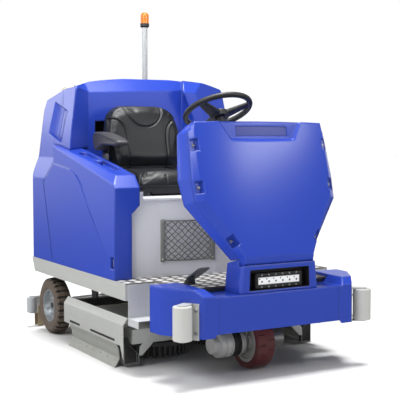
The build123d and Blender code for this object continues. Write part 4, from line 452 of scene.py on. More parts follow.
def makeFinish(name, look):
    material = bpy.data.materials.new(name)
    material.use_nodes = True
    tree = material.node_tree
    shader = tree.nodes["Principled BSDF"]
    edges = placeGroup(tree, softEdges, Radius=look["edge"])
    if look.get("brushed"):
        grain = placeGroup(tree, brushedGrain)
        tone = grain.outputs["Streak"]
    else:
        grain = placeGroup(tree, mouldGrain, Fine=look["grain"])
        tone = grain.outputs["Cloud"]
    colour, rough = look["base"], look["rough"]
    if "dark" in look:
        vary = everyFinish["roughVary"]
        colour = mixColour(tree, tone, colour, look["dark"])
        rough = rangeNode(tree, tone, 0.0, 1.0, rough - vary, rough + vary)
    # edge colour mixed in: wear, and on the smoke flap a painted highlight
    wearAndHighlightShare = mathNode(tree, "MULTIPLY", edges.outputs["Edge"], everyFinish["edgeWearAndHighlight"])
    colour = mixColour(tree, wearAndHighlightShare, colour, look["wearAndHighlight"])
    if "dust" in look:
        dust = placeGroup(tree, floorDust, Amount=look["dust"]).outputs["Mask"]
        colour = mixColour(tree, dust, colour, everyFinish["dust"])
        rough = mathNode(tree, "ADD", rough, mathNode(tree, "MULTIPLY", dust, everyFinish["dustRough"]))
    # painted shade in the tread grooves
    if look.get("lugGrooveShade"):
        grooveShade = placeGroup(tree, lugMask, **tyreLugs)
        colour = mixColour(tree, grooveShade.outputs["Mask"], colour, everyFinish["groove"])
    tree.links.new(colour, shader.inputs["Base Color"])
    if isinstance(rough, float):
        shader.inputs["Roughness"].default_value = rough
    else:
        tree.links.new(rough, shader.inputs["Roughness"])
    bump = tree.nodes.new("ShaderNodeBump")
    bump.inputs["Strength"].default_value = look["bump"]
    bump.inputs["Distance"].default_value = everyFinish["grainDepth"]
    tree.links.new(grain.outputs["Height"], bump.inputs["Height"])
    tree.links.new(edges.outputs["Normal"], bump.inputs["Normal"])
    tree.links.new(bump.outputs["Normal"], shader.inputs["Normal"])
    shader.inputs["Metallic"].default_value = look.get("metal", 0.0)
    shader.inputs["Specular IOR Level"].default_value = look.get("shine", 0.5)
    # emission: lamp light on the lamp glasses, painted brightness on the reflector
    if "glow" in look:
        tree.links.new(colour, shader.inputs["Emission Color"])
        shader.inputs["Emission Strength"].default_value = look["glow"]
    return material


materials = {name: makeFinish(name, look) for name, look in finishes.items()}


def dress(obj, material):
    if not obj.material_slots:
        obj.data.materials.append(material)
    for slot in obj.material_slots:
        slot.material = material


ownFinish = {
    "floor_plate": "tread_plate",
    "steps": "step_steel",
    "accelerator_pedal": "pedal_grey",
    "filler_cap": "blue_plastic",
}
for part in frame["record"]["subparts"]:
    dress(nodes[part["node"]], materials[ownFinish.get(part["node"], part["material_slot"])])
print("finishes on all nodes")


# Tools for building pieces

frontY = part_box("bumper")[0].y


def spot(x, s, z):
    return Vector((x / 1000, frontY + s / 1000, z / 1000))


def addPiece(name, mesh, material, smooth=True):
    obj = newObject(name, mesh)
    mesh.materials.clear()
    mesh.materials.append(material)
    if smooth:
        mesh.shade_smooth()
    return obj


def settle(piece, body):
    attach(piece, body)


def flatten(obj, name):
    bpy.context.view_layer.update()
    graph = bpy.context.evaluated_depsgraph_get()
    mesh = bpy.data.meshes.new_from_object(obj.evaluated_get(graph))
    mesh.name = name
    return mesh


def dropObject(obj):
    mesh = obj.data
    bpy.data.objects.remove(obj)
    if mesh.users == 0:
        bpy.data.meshes.remove(mesh)


treeCache = {}


def surfaceOf(node):
    if node not in treeCache:
        mesh = nodes[node].data
        points = [v.co.copy() for v in mesh.vertices]
        treeCache[node] = BVHTree.FromPolygons(points, [tuple(p.vertices) for p in mesh.polygons])
    return treeCache[node]


def strike(node, origin, direction, reach=5.0):
    place, normal = surfaceOf(node).ray_cast(origin, direction, reach)[:2]
    if place is None:
        return None
    if normal.dot(direction) > 0:
        normal = -normal
    return place, normal


def aligned(place, normal, along):
    z = normal.normalized()
    x = (along - z * along.dot(z)).normalized()
    y = z.cross(x)
    turn = Matrix((x, y, z)).transposed()
    return place, turn.to_euler()


def newTool(name, inputs, output):
    tree = bpy.data.node_groups.new(name, "GeometryNodeTree")
    for label, kind in inputs:
        tree.interface.new_socket(label, in_out="INPUT", socket_type="NodeSocket" + kind)
    tree.interface.new_socket(output, in_out="OUTPUT", socket_type="NodeSocketGeometry")
    return tree, tree.nodes.new("NodeGroupInput"), tree.nodes.new("NodeGroupOutput")


def endTool(tree, shape, inside, out):
    real = tree.nodes.new("GeometryNodeRealizeInstances")
    paint = tree.nodes.new("GeometryNodeSetMaterial")
    tree.links.new(shape, real.inputs["Geometry"])
    tree.links.new(real.outputs["Geometry"], paint.inputs["Geometry"])
    tree.links.new(inside.outputs["Finish"], paint.inputs["Material"])
    tree.links.new(paint.outputs["Geometry"], out.inputs[0])
    return tree


def makeRepeatGroup():
    inputs = [("Points", "Geometry"), ("Shape", "Object"), ("Finish", "Material")]
    tree, inside, out = newTool("repeatOnPoints", inputs, "Repeats")
    info = tree.nodes.new("GeometryNodeObjectInfo")
    copies = tree.nodes.new("GeometryNodeInstanceOnPoints")
    turn = tree.nodes.new("GeometryNodeInputNamedAttribute")
    turn.data_type = "FLOAT_VECTOR"
    turn.inputs["Name"].default_value = "turn"
    euler = tree.nodes.new("FunctionNodeEulerToRotation")
    tree.links.new(inside.outputs["Shape"], info.inputs["Object"])
    tree.links.new(inside.outputs["Points"], copies.inputs["Points"])
    tree.links.new(info.outputs["Geometry"], copies.inputs["Instance"])
    tree.links.new(turn.outputs["Attribute"], euler.inputs["Euler"])
    tree.links.new(euler.outputs["Rotation"], copies.inputs["Rotation"])
    return endTool(tree, copies.outputs["Instances"], inside, out)


def makeTubeGroup():
    inputs = [("Lines", "Geometry"), ("Radius", "Float"), ("Sides", "Int"), ("Finish", "Material")]
    tree, inside, out = newTool("tubeOnLines", inputs, "Tubes")
    curve = tree.nodes.new("GeometryNodeMeshToCurve")
    ring = tree.nodes.new("GeometryNodeCurvePrimitiveCircle")
    tube = tree.nodes.new("GeometryNodeCurveToMesh")
    tube.inputs["Fill Caps"].default_value = True
    tree.links.new(inside.outputs["Lines"], curve.inputs["Mesh"])
    tree.links.new(inside.outputs["Radius"], ring.inputs["Radius"])
    tree.links.new(inside.outputs["Sides"], ring.inputs["Resolution"])
    tree.links.new(curve.outputs["Curve"], tube.inputs["Curve"])
    tree.links.new(ring.outputs["Curve"], tube.inputs["Profile Curve"])
    return endTool(tree, tube.outputs["Mesh"], inside, out)


repeatGroup = makeRepeatGroup()
tubeGroup = makeTubeGroup()


def runGroup(name, mesh, group, values, material, smooth=True):
    source = newObject(name + "Source", mesh)
    modifier = source.modifiers.new("repeat", "NODES")
    modifier.node_group = group
    for item in group.interface.items_tree:
        if item.in_out == "INPUT" and item.name in values:
            modifier[item.identifier] = values[item.name]
    made = flatten(source, name)
    dropObject(source)
    return addPiece(name, made, material, smooth)


def repeatPieces(name, shapeMesh, places, material, smooth=True):
    shape = newObject(name + "Shape", shapeMesh)
    mesh = bpy.data.meshes.new(name + "Points")
    mesh.from_pydata([tuple(place) for place, turn in places], [], [])
    turns = mesh.attributes.new("turn", "FLOAT_VECTOR", "POINT")
    for item, (place, turn) in zip(turns.data, places):
        item.vector = tuple(turn)
    piece = runGroup(name, mesh, repeatGroup, {"Shape": shape, "Finish": material}, material, smooth)
    dropObject(shape)
    return piece


def tubePieces(name, lines, radius, material, sides):
    points, edges = [], []
    for line in lines:
        first = len(points)
        points += [tuple(p) for p in line]
        edges += [(first + i, first + i + 1) for i in range(len(line) - 1)]
    mesh = bpy.data.meshes.new(name + "Lines")
    mesh.from_pydata(points, edges, [])
    values = {"Radius": radius, "Sides": sides, "Finish": material}
    return runGroup(name, mesh, tubeGroup, values, material)


bolt = {
    # foot and top radius, thickness and middle, as shares of a bolt's own radius and height
    "washer": (1.45, 1.4, 0.3, 0.15),
    "head": (1.0, 0.895, 0.7, 0.65),
    "washerSides": 24,
    "bevel": 0.08,
}


def boltMesh(name, radius, height, sides=6):
    bm = bmesh.new()
    for count, part in ((bolt["washerSides"], "washer"), (sides, "head")):
        foot, top, thick, middle = bolt[part]
        made = bmesh.ops.create_cone(bm, cap_ends=True, segments=count, radius1=radius * foot,
                                     radius2=radius * top, depth=height * thick)
        bmesh.ops.translate(bm, vec=(0, 0, height * middle), verts=made["verts"])
    bmesh.ops.bevel(bm, geom=bm.edges[:], offset=height * bolt["bevel"], segments=1, affect="EDGES")
    mesh = bpy.data.meshes.new(name)
    bm.to_mesh(mesh)
    bm.free()
    return mesh


def ringFaces(rings, segments):
    faces = []
    for ring in range(rings - 1):
        a = ring * segments
        for i in range(segments):
            j = (i + 1) % segments
            faces.append((a + i, a + j, a + segments + j, a + segments + i))
    a = (rings - 1) * segments
    return faces + [(a + i, a + (i + 1) % segments, rings * segments) for i in range(segments)]


def domeMesh(name, radius, height, rings=3, segments=14):
    points = []
    for ring in range(rings):
        lift = math.sin(ring / rings * math.pi / 2)
        size = math.cos(ring / rings * math.pi / 2)
        for i in range(segments):
            turn = 2 * math.pi * i / segments
            points.append((radius * size * math.cos(turn), radius * size * math.sin(turn), height * lift))
    points.append((0, 0, height))
    mesh = bpy.data.meshes.new(name)
    mesh.from_pydata(points, [], ringFaces(rings, segments) + [tuple(reversed(range(segments)))])
    return mesh


def softBox(bm, low, high, bevel, segments=2):
    made = bmesh.ops.create_cube(bm, size=1)
    size = Vector(high) - Vector(low)
    middle = (Vector(high) + Vector(low)) / 2
    bmesh.ops.scale(bm, vec=size, verts=made["verts"])
    bmesh.ops.translate(bm, vec=middle, verts=made["verts"])
    edges = list({e for v in made["verts"] for e in v.link_edges})
    bmesh.ops.bevel(bm, geom=edges, offset=bevel, segments=segments, affect="EDGES", profile=0.5)


def boxBetween(bm, a, b, bevel):
    low = [min(p, q) for p, q in zip(a, b)]
    high = [max(p, q) for p, q in zip(a, b)]
    softBox(bm, low, high, bevel)


def bridgeRings(bm, pairs):
    for a, b in pairs:
        for i in range(len(a)):
            j = (i + 1) % len(a)
            bm.faces.new((a[i], a[j], b[j], b[i]))


def endMesh(bm, name):
    bmesh.ops.recalc_face_normals(bm, faces=bm.faces[:])
    mesh = bpy.data.meshes.new(name)
    bm.to_mesh(mesh)
    bm.free()
    return mesh


def addSolid(bm, name, finish, body, smooth=True):
    settle(addPiece(name, endMesh(bm, name), materials[finish], smooth), body)


def cutCorners(points, closed=False, times=2):
    line = np.array(points, float)
    for turn in range(times):
        a, b = (line, np.roll(line, -1, axis=0)) if closed else (line[:-1], line[1:])
        cut = np.empty((2 * len(a), 2))
        cut[0::2] = a * 0.75 + b * 0.25
        cut[1::2] = a * 0.25 + b * 0.75
        line = cut if closed else np.vstack([line[:1], cut, line[-1:]])
    return line


print("tools ready")


# Seat pads, swollen by cloth and drawn in at their seams

stuffing = {
    "merge": 0.00005,
    "voxel": 0.006,
    "shrink": 0.004,
    "pressure": 4.0,
    "cap": 0.010,              # furthest that a point may move
    "fill": 0.85,
    "frames": 20,
    "quality": 4,
    "mass": 0.25,
    "stiffness": 12,
    "held": (6, 20),           # millimetres next to the shell that stay in place, and the fade after them
    "heldLeast": 0.01,
    "smooth": (0.5, 10),       # factor and rounds
    "seamWidth": 0.0050,
    "welt": (0.28, 2.4, 1.3),  # height beside a seam as a share of its depth, place and width in seam widths
    "weltFrom": 0.12,          # share of a groove where its welt starts
    "weltMost": 0.3,
}

backSeat = {
    "node": "backrest_pad",
    "body": "backrest",
    "middle": (-160, 1160, 1014),
    "lean": 13.8,
    "shoulderLevel": 358,      # up the pad, where its shoulders are filled out most
    "shoulderSpread": 54,
    "shoulderShare": 0.28,
    "widest": 236,
    "facing": (0.1, 0.4),      # how far a face looks ahead where its seams start, and the ramp to full depth
    "seamDepth": 0.0065,
    # across, up the pad, in millimetres from the middle of its foot
    "seams": [
        [(-130, 404), (-124, 372), (-112, 326), (-88, 282), (-48, 252), (0, 242), (48, 252), (88, 282),
         (112, 326), (124, 372), (130, 404)],
    ],
    # seams on both sides
    "pairs": [
        [(250, 302), (214, 299), (180, 286), (150, 259), (132, 222), (126, 160), (124, 80), (122, -20)],
    ],
}

underSeat = {
    "node": "seat_cushion",
    "body": "seat",
    "front": 795,
    "across": -160,
    "topFacing": (0.0, 0.4),
    "noseFacing": (0.2, 0.4),
    "noseFoot": (0.010, 0.015),
    "seamDepth": 0.0060,
    "seams": [],
    # across, back from the front edge, in millimetres
    "pairs": [
        [(53, -60), (53, 24)],
        [(152, 420), (152, 150), (158, 90), (178, 50), (215, 24), (260, 10)],
    ],
}


def padCopy(plan):
    name = plan["node"] + "Pad"
    mesh = nodes[plan["node"]].data.copy()
    bm = bmesh.new()
    bm.from_mesh(mesh)
    bmesh.ops.remove_doubles(bm, verts=bm.verts[:], dist=stuffing["merge"])
    bmesh.ops.recalc_face_normals(bm, faces=bm.faces[:])
    bm.to_mesh(mesh)
    bm.free()
    obj = newObject(name + "Source", mesh)
    remesh = obj.modifiers.new("voxels", "REMESH")
    remesh.mode = "VOXEL"
    remesh.voxel_size = stuffing["voxel"]
    made = flatten(obj, name)
    dropObject(obj)
    return newObject(name, made)


def meshPoints(mesh):
    points = np.empty(len(mesh.vertices) * 3)
    mesh.vertices.foreach_get("co", points)
    return points.reshape(-1, 3)


def meshNormals(mesh):
    normals = np.empty(len(mesh.vertices) * 3, dtype=np.float32)
    mesh.vertex_normals.foreach_get("vector", normals)
    return normals.reshape(-1, 3)


def setPoints(mesh, points):
    mesh.vertices.foreach_set("co", points.astype(np.float32).ravel())
    mesh.update()


def ramp(values, start, width):
    return np.clip((values - start) / width, 0, 1)


def swell(obj, rise):
    held = 1 - ramp(rise, *stuffing["held"])
    small = meshPoints(obj.data) - meshNormals(obj.data) * stuffing["shrink"] * (1 - held[:, None])
    setPoints(obj.data, small)
    group = obj.vertex_groups.new(name="held")
    for index in np.nonzero(held > stuffing["heldLeast"])[0]:
        group.add([int(index)], float(held[index]), "REPLACE")
    cloth = obj.modifiers.new("cloth", "CLOTH")
    cloth.settings.use_pressure = True
    cloth.settings.uniform_pressure_force = stuffing["pressure"]
    cloth.settings.effector_weights.gravity = 0
    cloth.settings.vertex_group_mass = "held"
    cloth.settings.quality = stuffing["quality"]
    cloth.settings.mass = stuffing["mass"]
    cloth.settings.tension_stiffness = stuffing["stiffness"]
    cloth.settings.compression_stiffness = stuffing["stiffness"]
    cloth.point_cache.frame_start = 1
    cloth.point_cache.frame_end = stuffing["frames"]
    for step in range(1, stuffing["frames"] + 1):
        bpy.context.scene.frame_set(step)
    graph = bpy.context.evaluated_depsgraph_get()
    swollen = meshPoints(obj.evaluated_get(graph).data)
    obj.modifiers.remove(cloth)
    bpy.context.scene.frame_set(1)
    move = swollen - small
    reach = np.linalg.norm(move, axis=1, keepdims=True)
    setPoints(obj.data, small + move * np.minimum(1, stuffing["cap"] / np.maximum(reach, 1e-9)))


def lineDistance(flat, line):
    line = np.array(line, float)
    best = np.full(len(flat), np.inf)
    for a, b in zip(line[:-1], line[1:]):
        run = b - a
        share = np.clip(((flat - a) @ run) / (run @ run), 0, 1)
        best = np.minimum(best, np.linalg.norm(flat - (a + share[:, None] * run), axis=1))
    return best


def refine(obj):
    even = obj.modifiers.new("even", "SMOOTH")
    even.factor, even.iterations = stuffing["smooth"]
    level = obj.modifiers.new("finer", "SUBSURF")
    level.levels = level.render_levels = 1
    mesh = flatten(obj, obj.data.name)
    name = obj.name
    dropObject(obj)
    return addPiece(name, mesh, materials["seat_vinyl"])


def drawSeams(obj, plan, flat, facing):
    points = meshPoints(obj.data)
    normals = meshNormals(obj.data)
    pairs = [[(side * x, y) for x, y in line] for line in plan["pairs"] for side in (-1, 1)]
    height, middle, width = stuffing["welt"]
    sink = np.zeros(len(points))
    for line in plan["seams"] + pairs:
        away = lineDistance(flat, cutCorners(line)) / 1000 / stuffing["seamWidth"]
        groove = np.exp(-(away ** 2))
        welt = height * np.exp(-(((away - middle) / width) ** 2))
        sink = np.maximum(sink, groove)
        sink = np.where(groove > stuffing["weltFrom"], sink, sink - welt)
    sink = np.clip(sink, -stuffing["weltMost"], 1) * facing
    setPoints(obj.data, points - normals * (plan["seamDepth"] * sink)[:, None])


def backFrame(points):
    lean = math.radians(backSeat["lean"])
    foot = np.array(spot(*backSeat["middle"]))
    up = np.array((0, math.sin(lean), math.cos(lean)))
    ahead = np.array((0, -math.cos(lean), math.sin(lean)))
    local = points - foot
    return local[:, 0] * 1000, local @ up * 1000, local @ ahead * 1000, ahead


def fillShoulders(mesh):
    points = meshPoints(mesh)
    across, level = backFrame(points)[:2]
    bell = np.exp(-(((level - backSeat["shoulderLevel"]) / backSeat["shoulderSpread"]) ** 2))
    wide = np.abs(across) * (1 + backSeat["shoulderShare"] * bell)
    wide = np.minimum(wide, np.maximum(np.abs(across), backSeat["widest"]))
    points[:, 0] += np.sign(across) * (wide - np.abs(across)) / 1000
    setPoints(mesh, points)


def endPad(pad, plan):
    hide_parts(plan["node"])
    settle(pad, plan["body"])


def makeBackrest():
    pad = padCopy(backSeat)
    fillShoulders(pad.data)
    depth = backFrame(meshPoints(pad.data))[2]
    swell(pad, depth - depth.min())
    pad = refine(pad)
    across, level, depth, ahead = backFrame(meshPoints(pad.data))
    facing = ramp(meshNormals(pad.data) @ ahead, *backSeat["facing"])
    drawSeams(pad, backSeat, np.column_stack([across, level]), facing)
    endPad(pad, backSeat)


def makeCushion():
    pad = padCopy(underSeat)
    heights = meshPoints(pad.data)[:, 2]
    low = heights.min()
    swell(pad, (heights - low) * 1000)
    pad = refine(pad)
    points = meshPoints(pad.data)
    normals = meshNormals(pad.data)
    across = points[:, 0] * 1000 - underSeat["across"]
    deep = (points[:, 1] - frontY) * 1000 - underSeat["front"]
    top = ramp(normals[:, 2], *underSeat["topFacing"])
    nose = ramp(-normals[:, 1], *underSeat["noseFacing"]) * ramp(points[:, 2] - low, *underSeat["noseFoot"])
    drawSeams(pad, underSeat, np.column_stack([across, deep]), np.maximum(top, nose))
    endPad(pad, underSeat)


makeBackrest()
makeCushion()
print("seat pads made")


# Moulded armrests, a teardrop from the side with a rolled rim

armrest = {
    # s, z of the side outline in millimetres, from the rear end over the top and back
    "outline": [(1224, 1196), (1219, 1218), (1200, 1231), (1160, 1233), (1100, 1228), (1030, 1217),
                (960, 1202), (905, 1187), (884, 1176), (883, 1164), (900, 1155), (960, 1153),
                (1040, 1157), (1100, 1158), (1140, 1146), (1165, 1130), (1185, 1124), (1205, 1132),
                (1216, 1158)],
    # depth in from a side face, and how far the outline is drawn in there, in millimetres
    "roll": [(2.0, 20), (0.6, 15), (0.0, 11), (0.9, 6), (2.6, 3), (5.6, 0.8), (10, 0)],
    "pivot": (1180, 1138),
    "bore": 9.6,
    "boreSides": 32,
    "wall": 13.0,        # left outside the blind end of the bore
    "overcut": 5.0,
    "flat": 0.999,       # faces that look this straight to a side are shaded flat
}


def inwardOf(ring):
    run = np.roll(ring, -1, axis=0) - np.roll(ring, 1, axis=0)
    run /= np.linalg.norm(run, axis=1, keepdims=True)
    side = np.column_stack([-run[:, 1], run[:, 0]])
    middle = ring.mean(axis=0)
    return side if np.sum(side * (middle - ring)) > 0 else -side


def boreObject(inner, outer):
    s, z = armrest["pivot"]
    radius = armrest["bore"] / 1000
    stop = outer + math.copysign(armrest["wall"], inner - outer)
    start = inner + math.copysign(armrest["overcut"], inner - outer)
    bm = bmesh.new()
    bmesh.ops.create_cone(bm, cap_ends=True, segments=armrest["boreSides"], radius1=radius,
                          radius2=radius, depth=abs(start - stop) / 1000)
    bmesh.ops.rotate(bm, matrix=Matrix.Rotation(math.pi / 2, 3, "Y"), verts=bm.verts[:])
    bmesh.ops.translate(bm, vec=spot((start + stop) / 2, s, z), verts=bm.verts[:])
    return newObject("armBore", endMesh(bm, "armBore"))


def makeArmrest(side):
    node = "armrest_" + side
    low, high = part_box(node)
    inner, outer = (high.x, low.x) if side == "right" else (low.x, high.x)
    inner, outer = inner * 1000, outer * 1000
    toward = math.copysign(1.0, inner - outer)
    ring = cutCorners(armrest["outline"], closed=True)
    inward = inwardOf(ring)
    rows = [(outer, toward, roll) for roll in armrest["roll"]]
    rows += [(inner, -toward, roll) for roll in armrest["roll"][:1:-1]]     # the inner face is flatter
    bm = bmesh.new()
    loops = []
    for x, way, (depth, inset) in rows:
        loops.append([bm.verts.new(spot(x + way * depth, s, z)) for s, z in ring + inward * inset])
    bridgeRings(bm, zip(loops[:-1], loops[1:]))
    caps = [bm.faces.new(loops[0]), bm.faces.new(loops[-1])]
    bmesh.ops.triangulate(bm, faces=caps)
    solid = newObject(node + "Solid", endMesh(bm, node + "Solid"))
    bore = boreObject(inner, outer)
    cut = solid.modifiers.new("bore", "BOOLEAN")
    cut.operation = "DIFFERENCE"
    cut.solver = "EXACT"
    cut.object = bore
    mesh = flatten(solid, node + "Moulded")
    dropObject(solid)
    dropObject(bore)
    piece = addPiece(node + "Moulded", mesh, materials["arm_vinyl"])
    for face in mesh.polygons:
        face.use_smooth = abs(face.normal.x) < armrest["flat"]
    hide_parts(node)
    settle(piece, "arm_" + side)


for side in ("right", "left"):
    makeArmrest(side)
print("armrests made")


# Storage net on the battery box

net = {
    "left": (-362, 616),      # x, s of the box face's ends, in millimetres
    "right": (-40, 570),
    "low": 534,
    "high": 762,
    "margin": 6,              # from the face's ends to the bars
    "bar": 24,
    "barDepth": 10,
    "barGap": 0.3,
    "barBevel": 0.003,
    "inset": 11,              # from the bars' ends to the first and last knots
    "columns": 7,
    "rows": 6,
    "cord": 0.0024,
    "cordSides": 6,
    "cordSag": 0.0012,
    "stand": 5.0,             # of the knots off the face, and their bulge in the middle
    "bulge": 5.0,
    "sag": 5.0,
    "loose": 2.2,             # spread of the knots' places
    "looseFrom": 0.05,        # share of the bulge where the spread starts
    "knot": (0.0032, 0.0026, 2, 8),      # radius, height, rings, sides
    "hem": 0.0032,
    "hemSides": 8,
    "hemSteps": 12,
    "hemOut": (-2, 4),        # of the lower and the upper hem from the knots
    "hemSag": 3,
    "hemStand": 6,
    "screw": (0.0045, 0.003, 20),        # radius, height, sides
    "screwInset": 14,
    "seed": 11,
}


def netPoint(along, z, off):
    a = Vector(net["left"])
    run = (Vector(net["right"]) - a).normalized()
    out = Vector((run.y, -run.x))
    if out.y > 0:
        out = -out
    p = a + run * along + out * off
    return spot(p.x, p.y, z)


def knotPlaces(first, span, low, high):
    rng = np.random.default_rng(net["seed"])
    knots = {}
    for i in range(2 * net["columns"] + 1):
        for j in range(2 * net["rows"] + 1):
            if (i + j) % 2:
                continue
            u = i / (2 * net["columns"])
            v = j / (2 * net["rows"])
            free = math.sin(math.pi * u) * math.sin(math.pi * v)
            shift = rng.normal(0, net["loose"], 2) * (free > net["looseFrom"])
            sag = net["sag"] * math.sin(math.pi * u) * (1 - abs(2 * v - 1))
            z = low + (high - low) * v + shift[1] - sag
            knots[i, j] = netPoint(first + span * u + shift[0], z, net["stand"] + net["bulge"] * free)
    return knots


def makeNetBars(width, front):
    run = (netPoint(width, 0, 0) - netPoint(0, 0, 0)).normalized()
    turn = Matrix((run, front, Vector((0, 0, 1)))).transposed().to_4x4()
    size = (net["bar"] / 1000, (net["barDepth"] - net["barGap"]) / 1000, (net["high"] - net["low"]) / 1000)
    bm = bmesh.new()
    for along in (net["margin"], width - net["margin"] - net["bar"]):
        part = bmesh.new()
        softBox(part, (0, 0, 0), size, net["barBevel"])
        turn.translation = netPoint(along, net["low"], net["barGap"])
        bmesh.ops.transform(part, matrix=turn, verts=part.verts[:])
        mesh = endMesh(part, "bar")
        bm.from_mesh(mesh)
        bpy.data.meshes.remove(mesh)
    addSolid(bm, "netBars", "bar_grey", "machine")


def makeNet():
    cordFinish = materials["net_cord"]
    width = (Vector(net["right"]) - Vector(net["left"])).length
    first = net["margin"] + net["bar"]
    span = width - 2 * first
    low = net["low"] + net["inset"]
    high = net["high"] - net["inset"]
    knots = knotPlaces(first, span, low, high)
    lines = []
    for (i, j), place in knots.items():
        for step in (1, -1):
            other = knots.get((i + 1, j + step))
            if other is not None:
                lines.append([place, (place + other) / 2 - Vector((0, 0, net["cordSag"])), other])
    cords = tubePieces("netCords", lines, net["cord"], cordFinish, net["cordSides"])
    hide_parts("storage_net")
    settle(cords, "machine")
    hems = []
    for z, out in zip((low, high), net["hemOut"]):
        hem = []
        for share in np.linspace(0, 1, net["hemSteps"] + 1):
            level = z + out - net["hemSag"] * math.sin(math.pi * share)
            hem.append(netPoint(first + span * share, level, net["hemStand"]))
        hems.append(hem)
    settle(tubePieces("netHems", hems, net["hem"], cordFinish, net["hemSides"]), "machine")
    ties = [aligned(place, Vector((0, -1, 0)), Vector((1, 0, 0))) for place in knots.values()]
    shape = domeMesh("netKnot", *net["knot"])
    settle(repeatPieces("netKnots", shape, ties, cordFinish), "machine")
    front = (netPoint(0, 0, 1) - netPoint(0, 0, 0)).normalized()
    makeNetBars(width, front)
    screws = []
    half = net["margin"] + net["bar"] / 2
    for along in (half, width - half):
        for z in (net["low"] + net["screwInset"], net["high"] - net["screwInset"]):
            screws.append(aligned(netPoint(along, z, net["barDepth"]), front, Vector((0, 0, 1))))
    shape = boltMesh("netScrew", *net["screw"])
    settle(repeatPieces("netScrews", shape, screws, materials["steel"]), "machine")


makeNet()
print("net made")


# Pillow tread on the platform

tread = {
    "pitch": 63.0,
    "length": 0.046,
    "width": 0.044,
    "rise": 0.0035,
    "square": 0.2,            # 0 is an ellipse, higher is squarer
    "rings": ((1.0, 0.0), (0.86, 0.45), (0.55, 0.85)),      # size and lift
    "segments": 12,
    "room": 0.045,            # free height that a pillow needs over it
    "reach": (-0.55, 0, 0.55),
    "level": 0.0005,
    "probe": (0.02, 0.03),    # start over the plate, and reach down from there
    "lift": 0.0004,
    "sunk": 0.0001,
    "left": -608,
    "right": 608,
    "front": 186,
    "rear": 650,
    "skip": ("floor_plate", "storage_net", "seat_cushion", "backrest_pad"),
}


def pillowMesh():
    points = []
    for size, lift in tread["rings"]:
        for i in range(tread["segments"]):
            turn = 2 * math.pi * i / tread["segments"]
            x = math.cos(turn) * abs(math.cos(turn)) ** tread["square"] * tread["length"] / 2 * size
            y = math.sin(turn) * abs(math.sin(turn)) ** tread["square"] * tread["width"] / 2 * size
            points.append((x, y, tread["rise"] * lift))
    points.append((0, 0, tread["rise"]))
    mesh = bpy.data.meshes.new("pillow")
    mesh.from_pydata(points, [], ringFaces(len(tread["rings"]), tread["segments"]))
    return mesh


def pillowFits(x, s, top, near):
    up = Vector((0, 0, 1))
    over, down = tread["probe"]
    for share in tread["reach"]:
        foot = spot(x, s, 0) + Vector((tread["length"] * share, 0, 0))
        foot.z = top + over
        hit = strike("floor_plate", foot, -up, down)
        if hit is None or abs(hit[0].z - top) > tread["level"]:
            return False
        foot.z = top + tread["lift"]
        if any(strike(name, foot, up, tread["room"]) for name in near):
            return False
    return True


def makeTread():
    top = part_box("floor_plate")[1].z
    near = []
    for name in nodes:
        low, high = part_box(name)
        if name not in tread["skip"] and low.z < top + tread["room"] and high.z > top + tread["level"]:
            near.append(name)
    places = []
    columns = int((tread["right"] - tread["left"]) / tread["pitch"])
    rows = int((tread["rear"] - tread["front"]) / tread["pitch"])
    for i in range(columns + 1):
        for j in range(rows + 1):
            x = tread["left"] + i * tread["pitch"]
            s = tread["front"] + j * tread["pitch"]
            if pillowFits(x, s, top, near):
                place = spot(x, s, 0)
                place.z = top - tread["sunk"]
                places.append((place, (0, 0, 0)))
    piece = repeatPieces("treadPillows", pillowMesh(), places, materials["tread_metal"])
    settle(piece, "machine")
    print("tread pillows:", len(places))


makeTread()


# Rivets on the side strips and bolts on the roller brackets

fasteners = {
    "away": 800,              # outside the machine, where the search for a side face starts
    "stripRivets": 7,
    "stripStart": 640,
    "stripEnd": 1200,
    "stripHeight": 34,
    "rivet": (0.0055, 0.0026),
    "bracketBolt": (0.0065, 0.006),
    "bracketFoot": 40,        # along the slanted corner from the bumper's nose
    "bracketHeights": (264, 374),
    "noseHalf": 445,
    "endHalf": 575,
    "shoulder": 201,
    "probe": (0.2, 0.4),      # start before a bracket, and reach back from there
}


def makeFasteners():
    rivets, bolts = [], []
    off, reach = fasteners["probe"]
    for side in (-1, 1):
        for s in np.linspace(fasteners["stripStart"], fasteners["stripEnd"], fasteners["stripRivets"]):
            start = spot(side * fasteners["away"], s, fasteners["stripHeight"])
            hit = strike("side_squeegees", start, Vector((-side, 0, 0)))
            if hit:
                rivets.append(aligned(*hit, Vector((0, 1, 0))))
        nose = Vector((side * fasteners["noseHalf"], 0))
        end = Vector((side * fasteners["endHalf"], fasteners["shoulder"]))
        run = (end - nose).normalized()
        out = Vector((side * abs(run.y), -abs(run.x), 0))
        foot = nose + run * fasteners["bracketFoot"]
        for z in fasteners["bracketHeights"]:
            hit = strike("roller_brackets", spot(foot.x, foot.y, z) + out * off, -out, reach)
            if hit:
                bolts.append(aligned(*hit, Vector((0, 0, 1))))
    shape = domeMesh("stripRivet", *fasteners["rivet"])
    settle(repeatPieces("stripRivets", shape, rivets, materials["steel"]), "deck")
    shape = boltMesh("bracketBolt", *fasteners["bracketBolt"])
    settle(repeatPieces("bracketBolts", shape, bolts, materials["steel"]), "machine")
    print("rivets", len(rivets), "bolts", len(bolts))


makeFasteners()


# Light: optics and the dark tray round the lamp

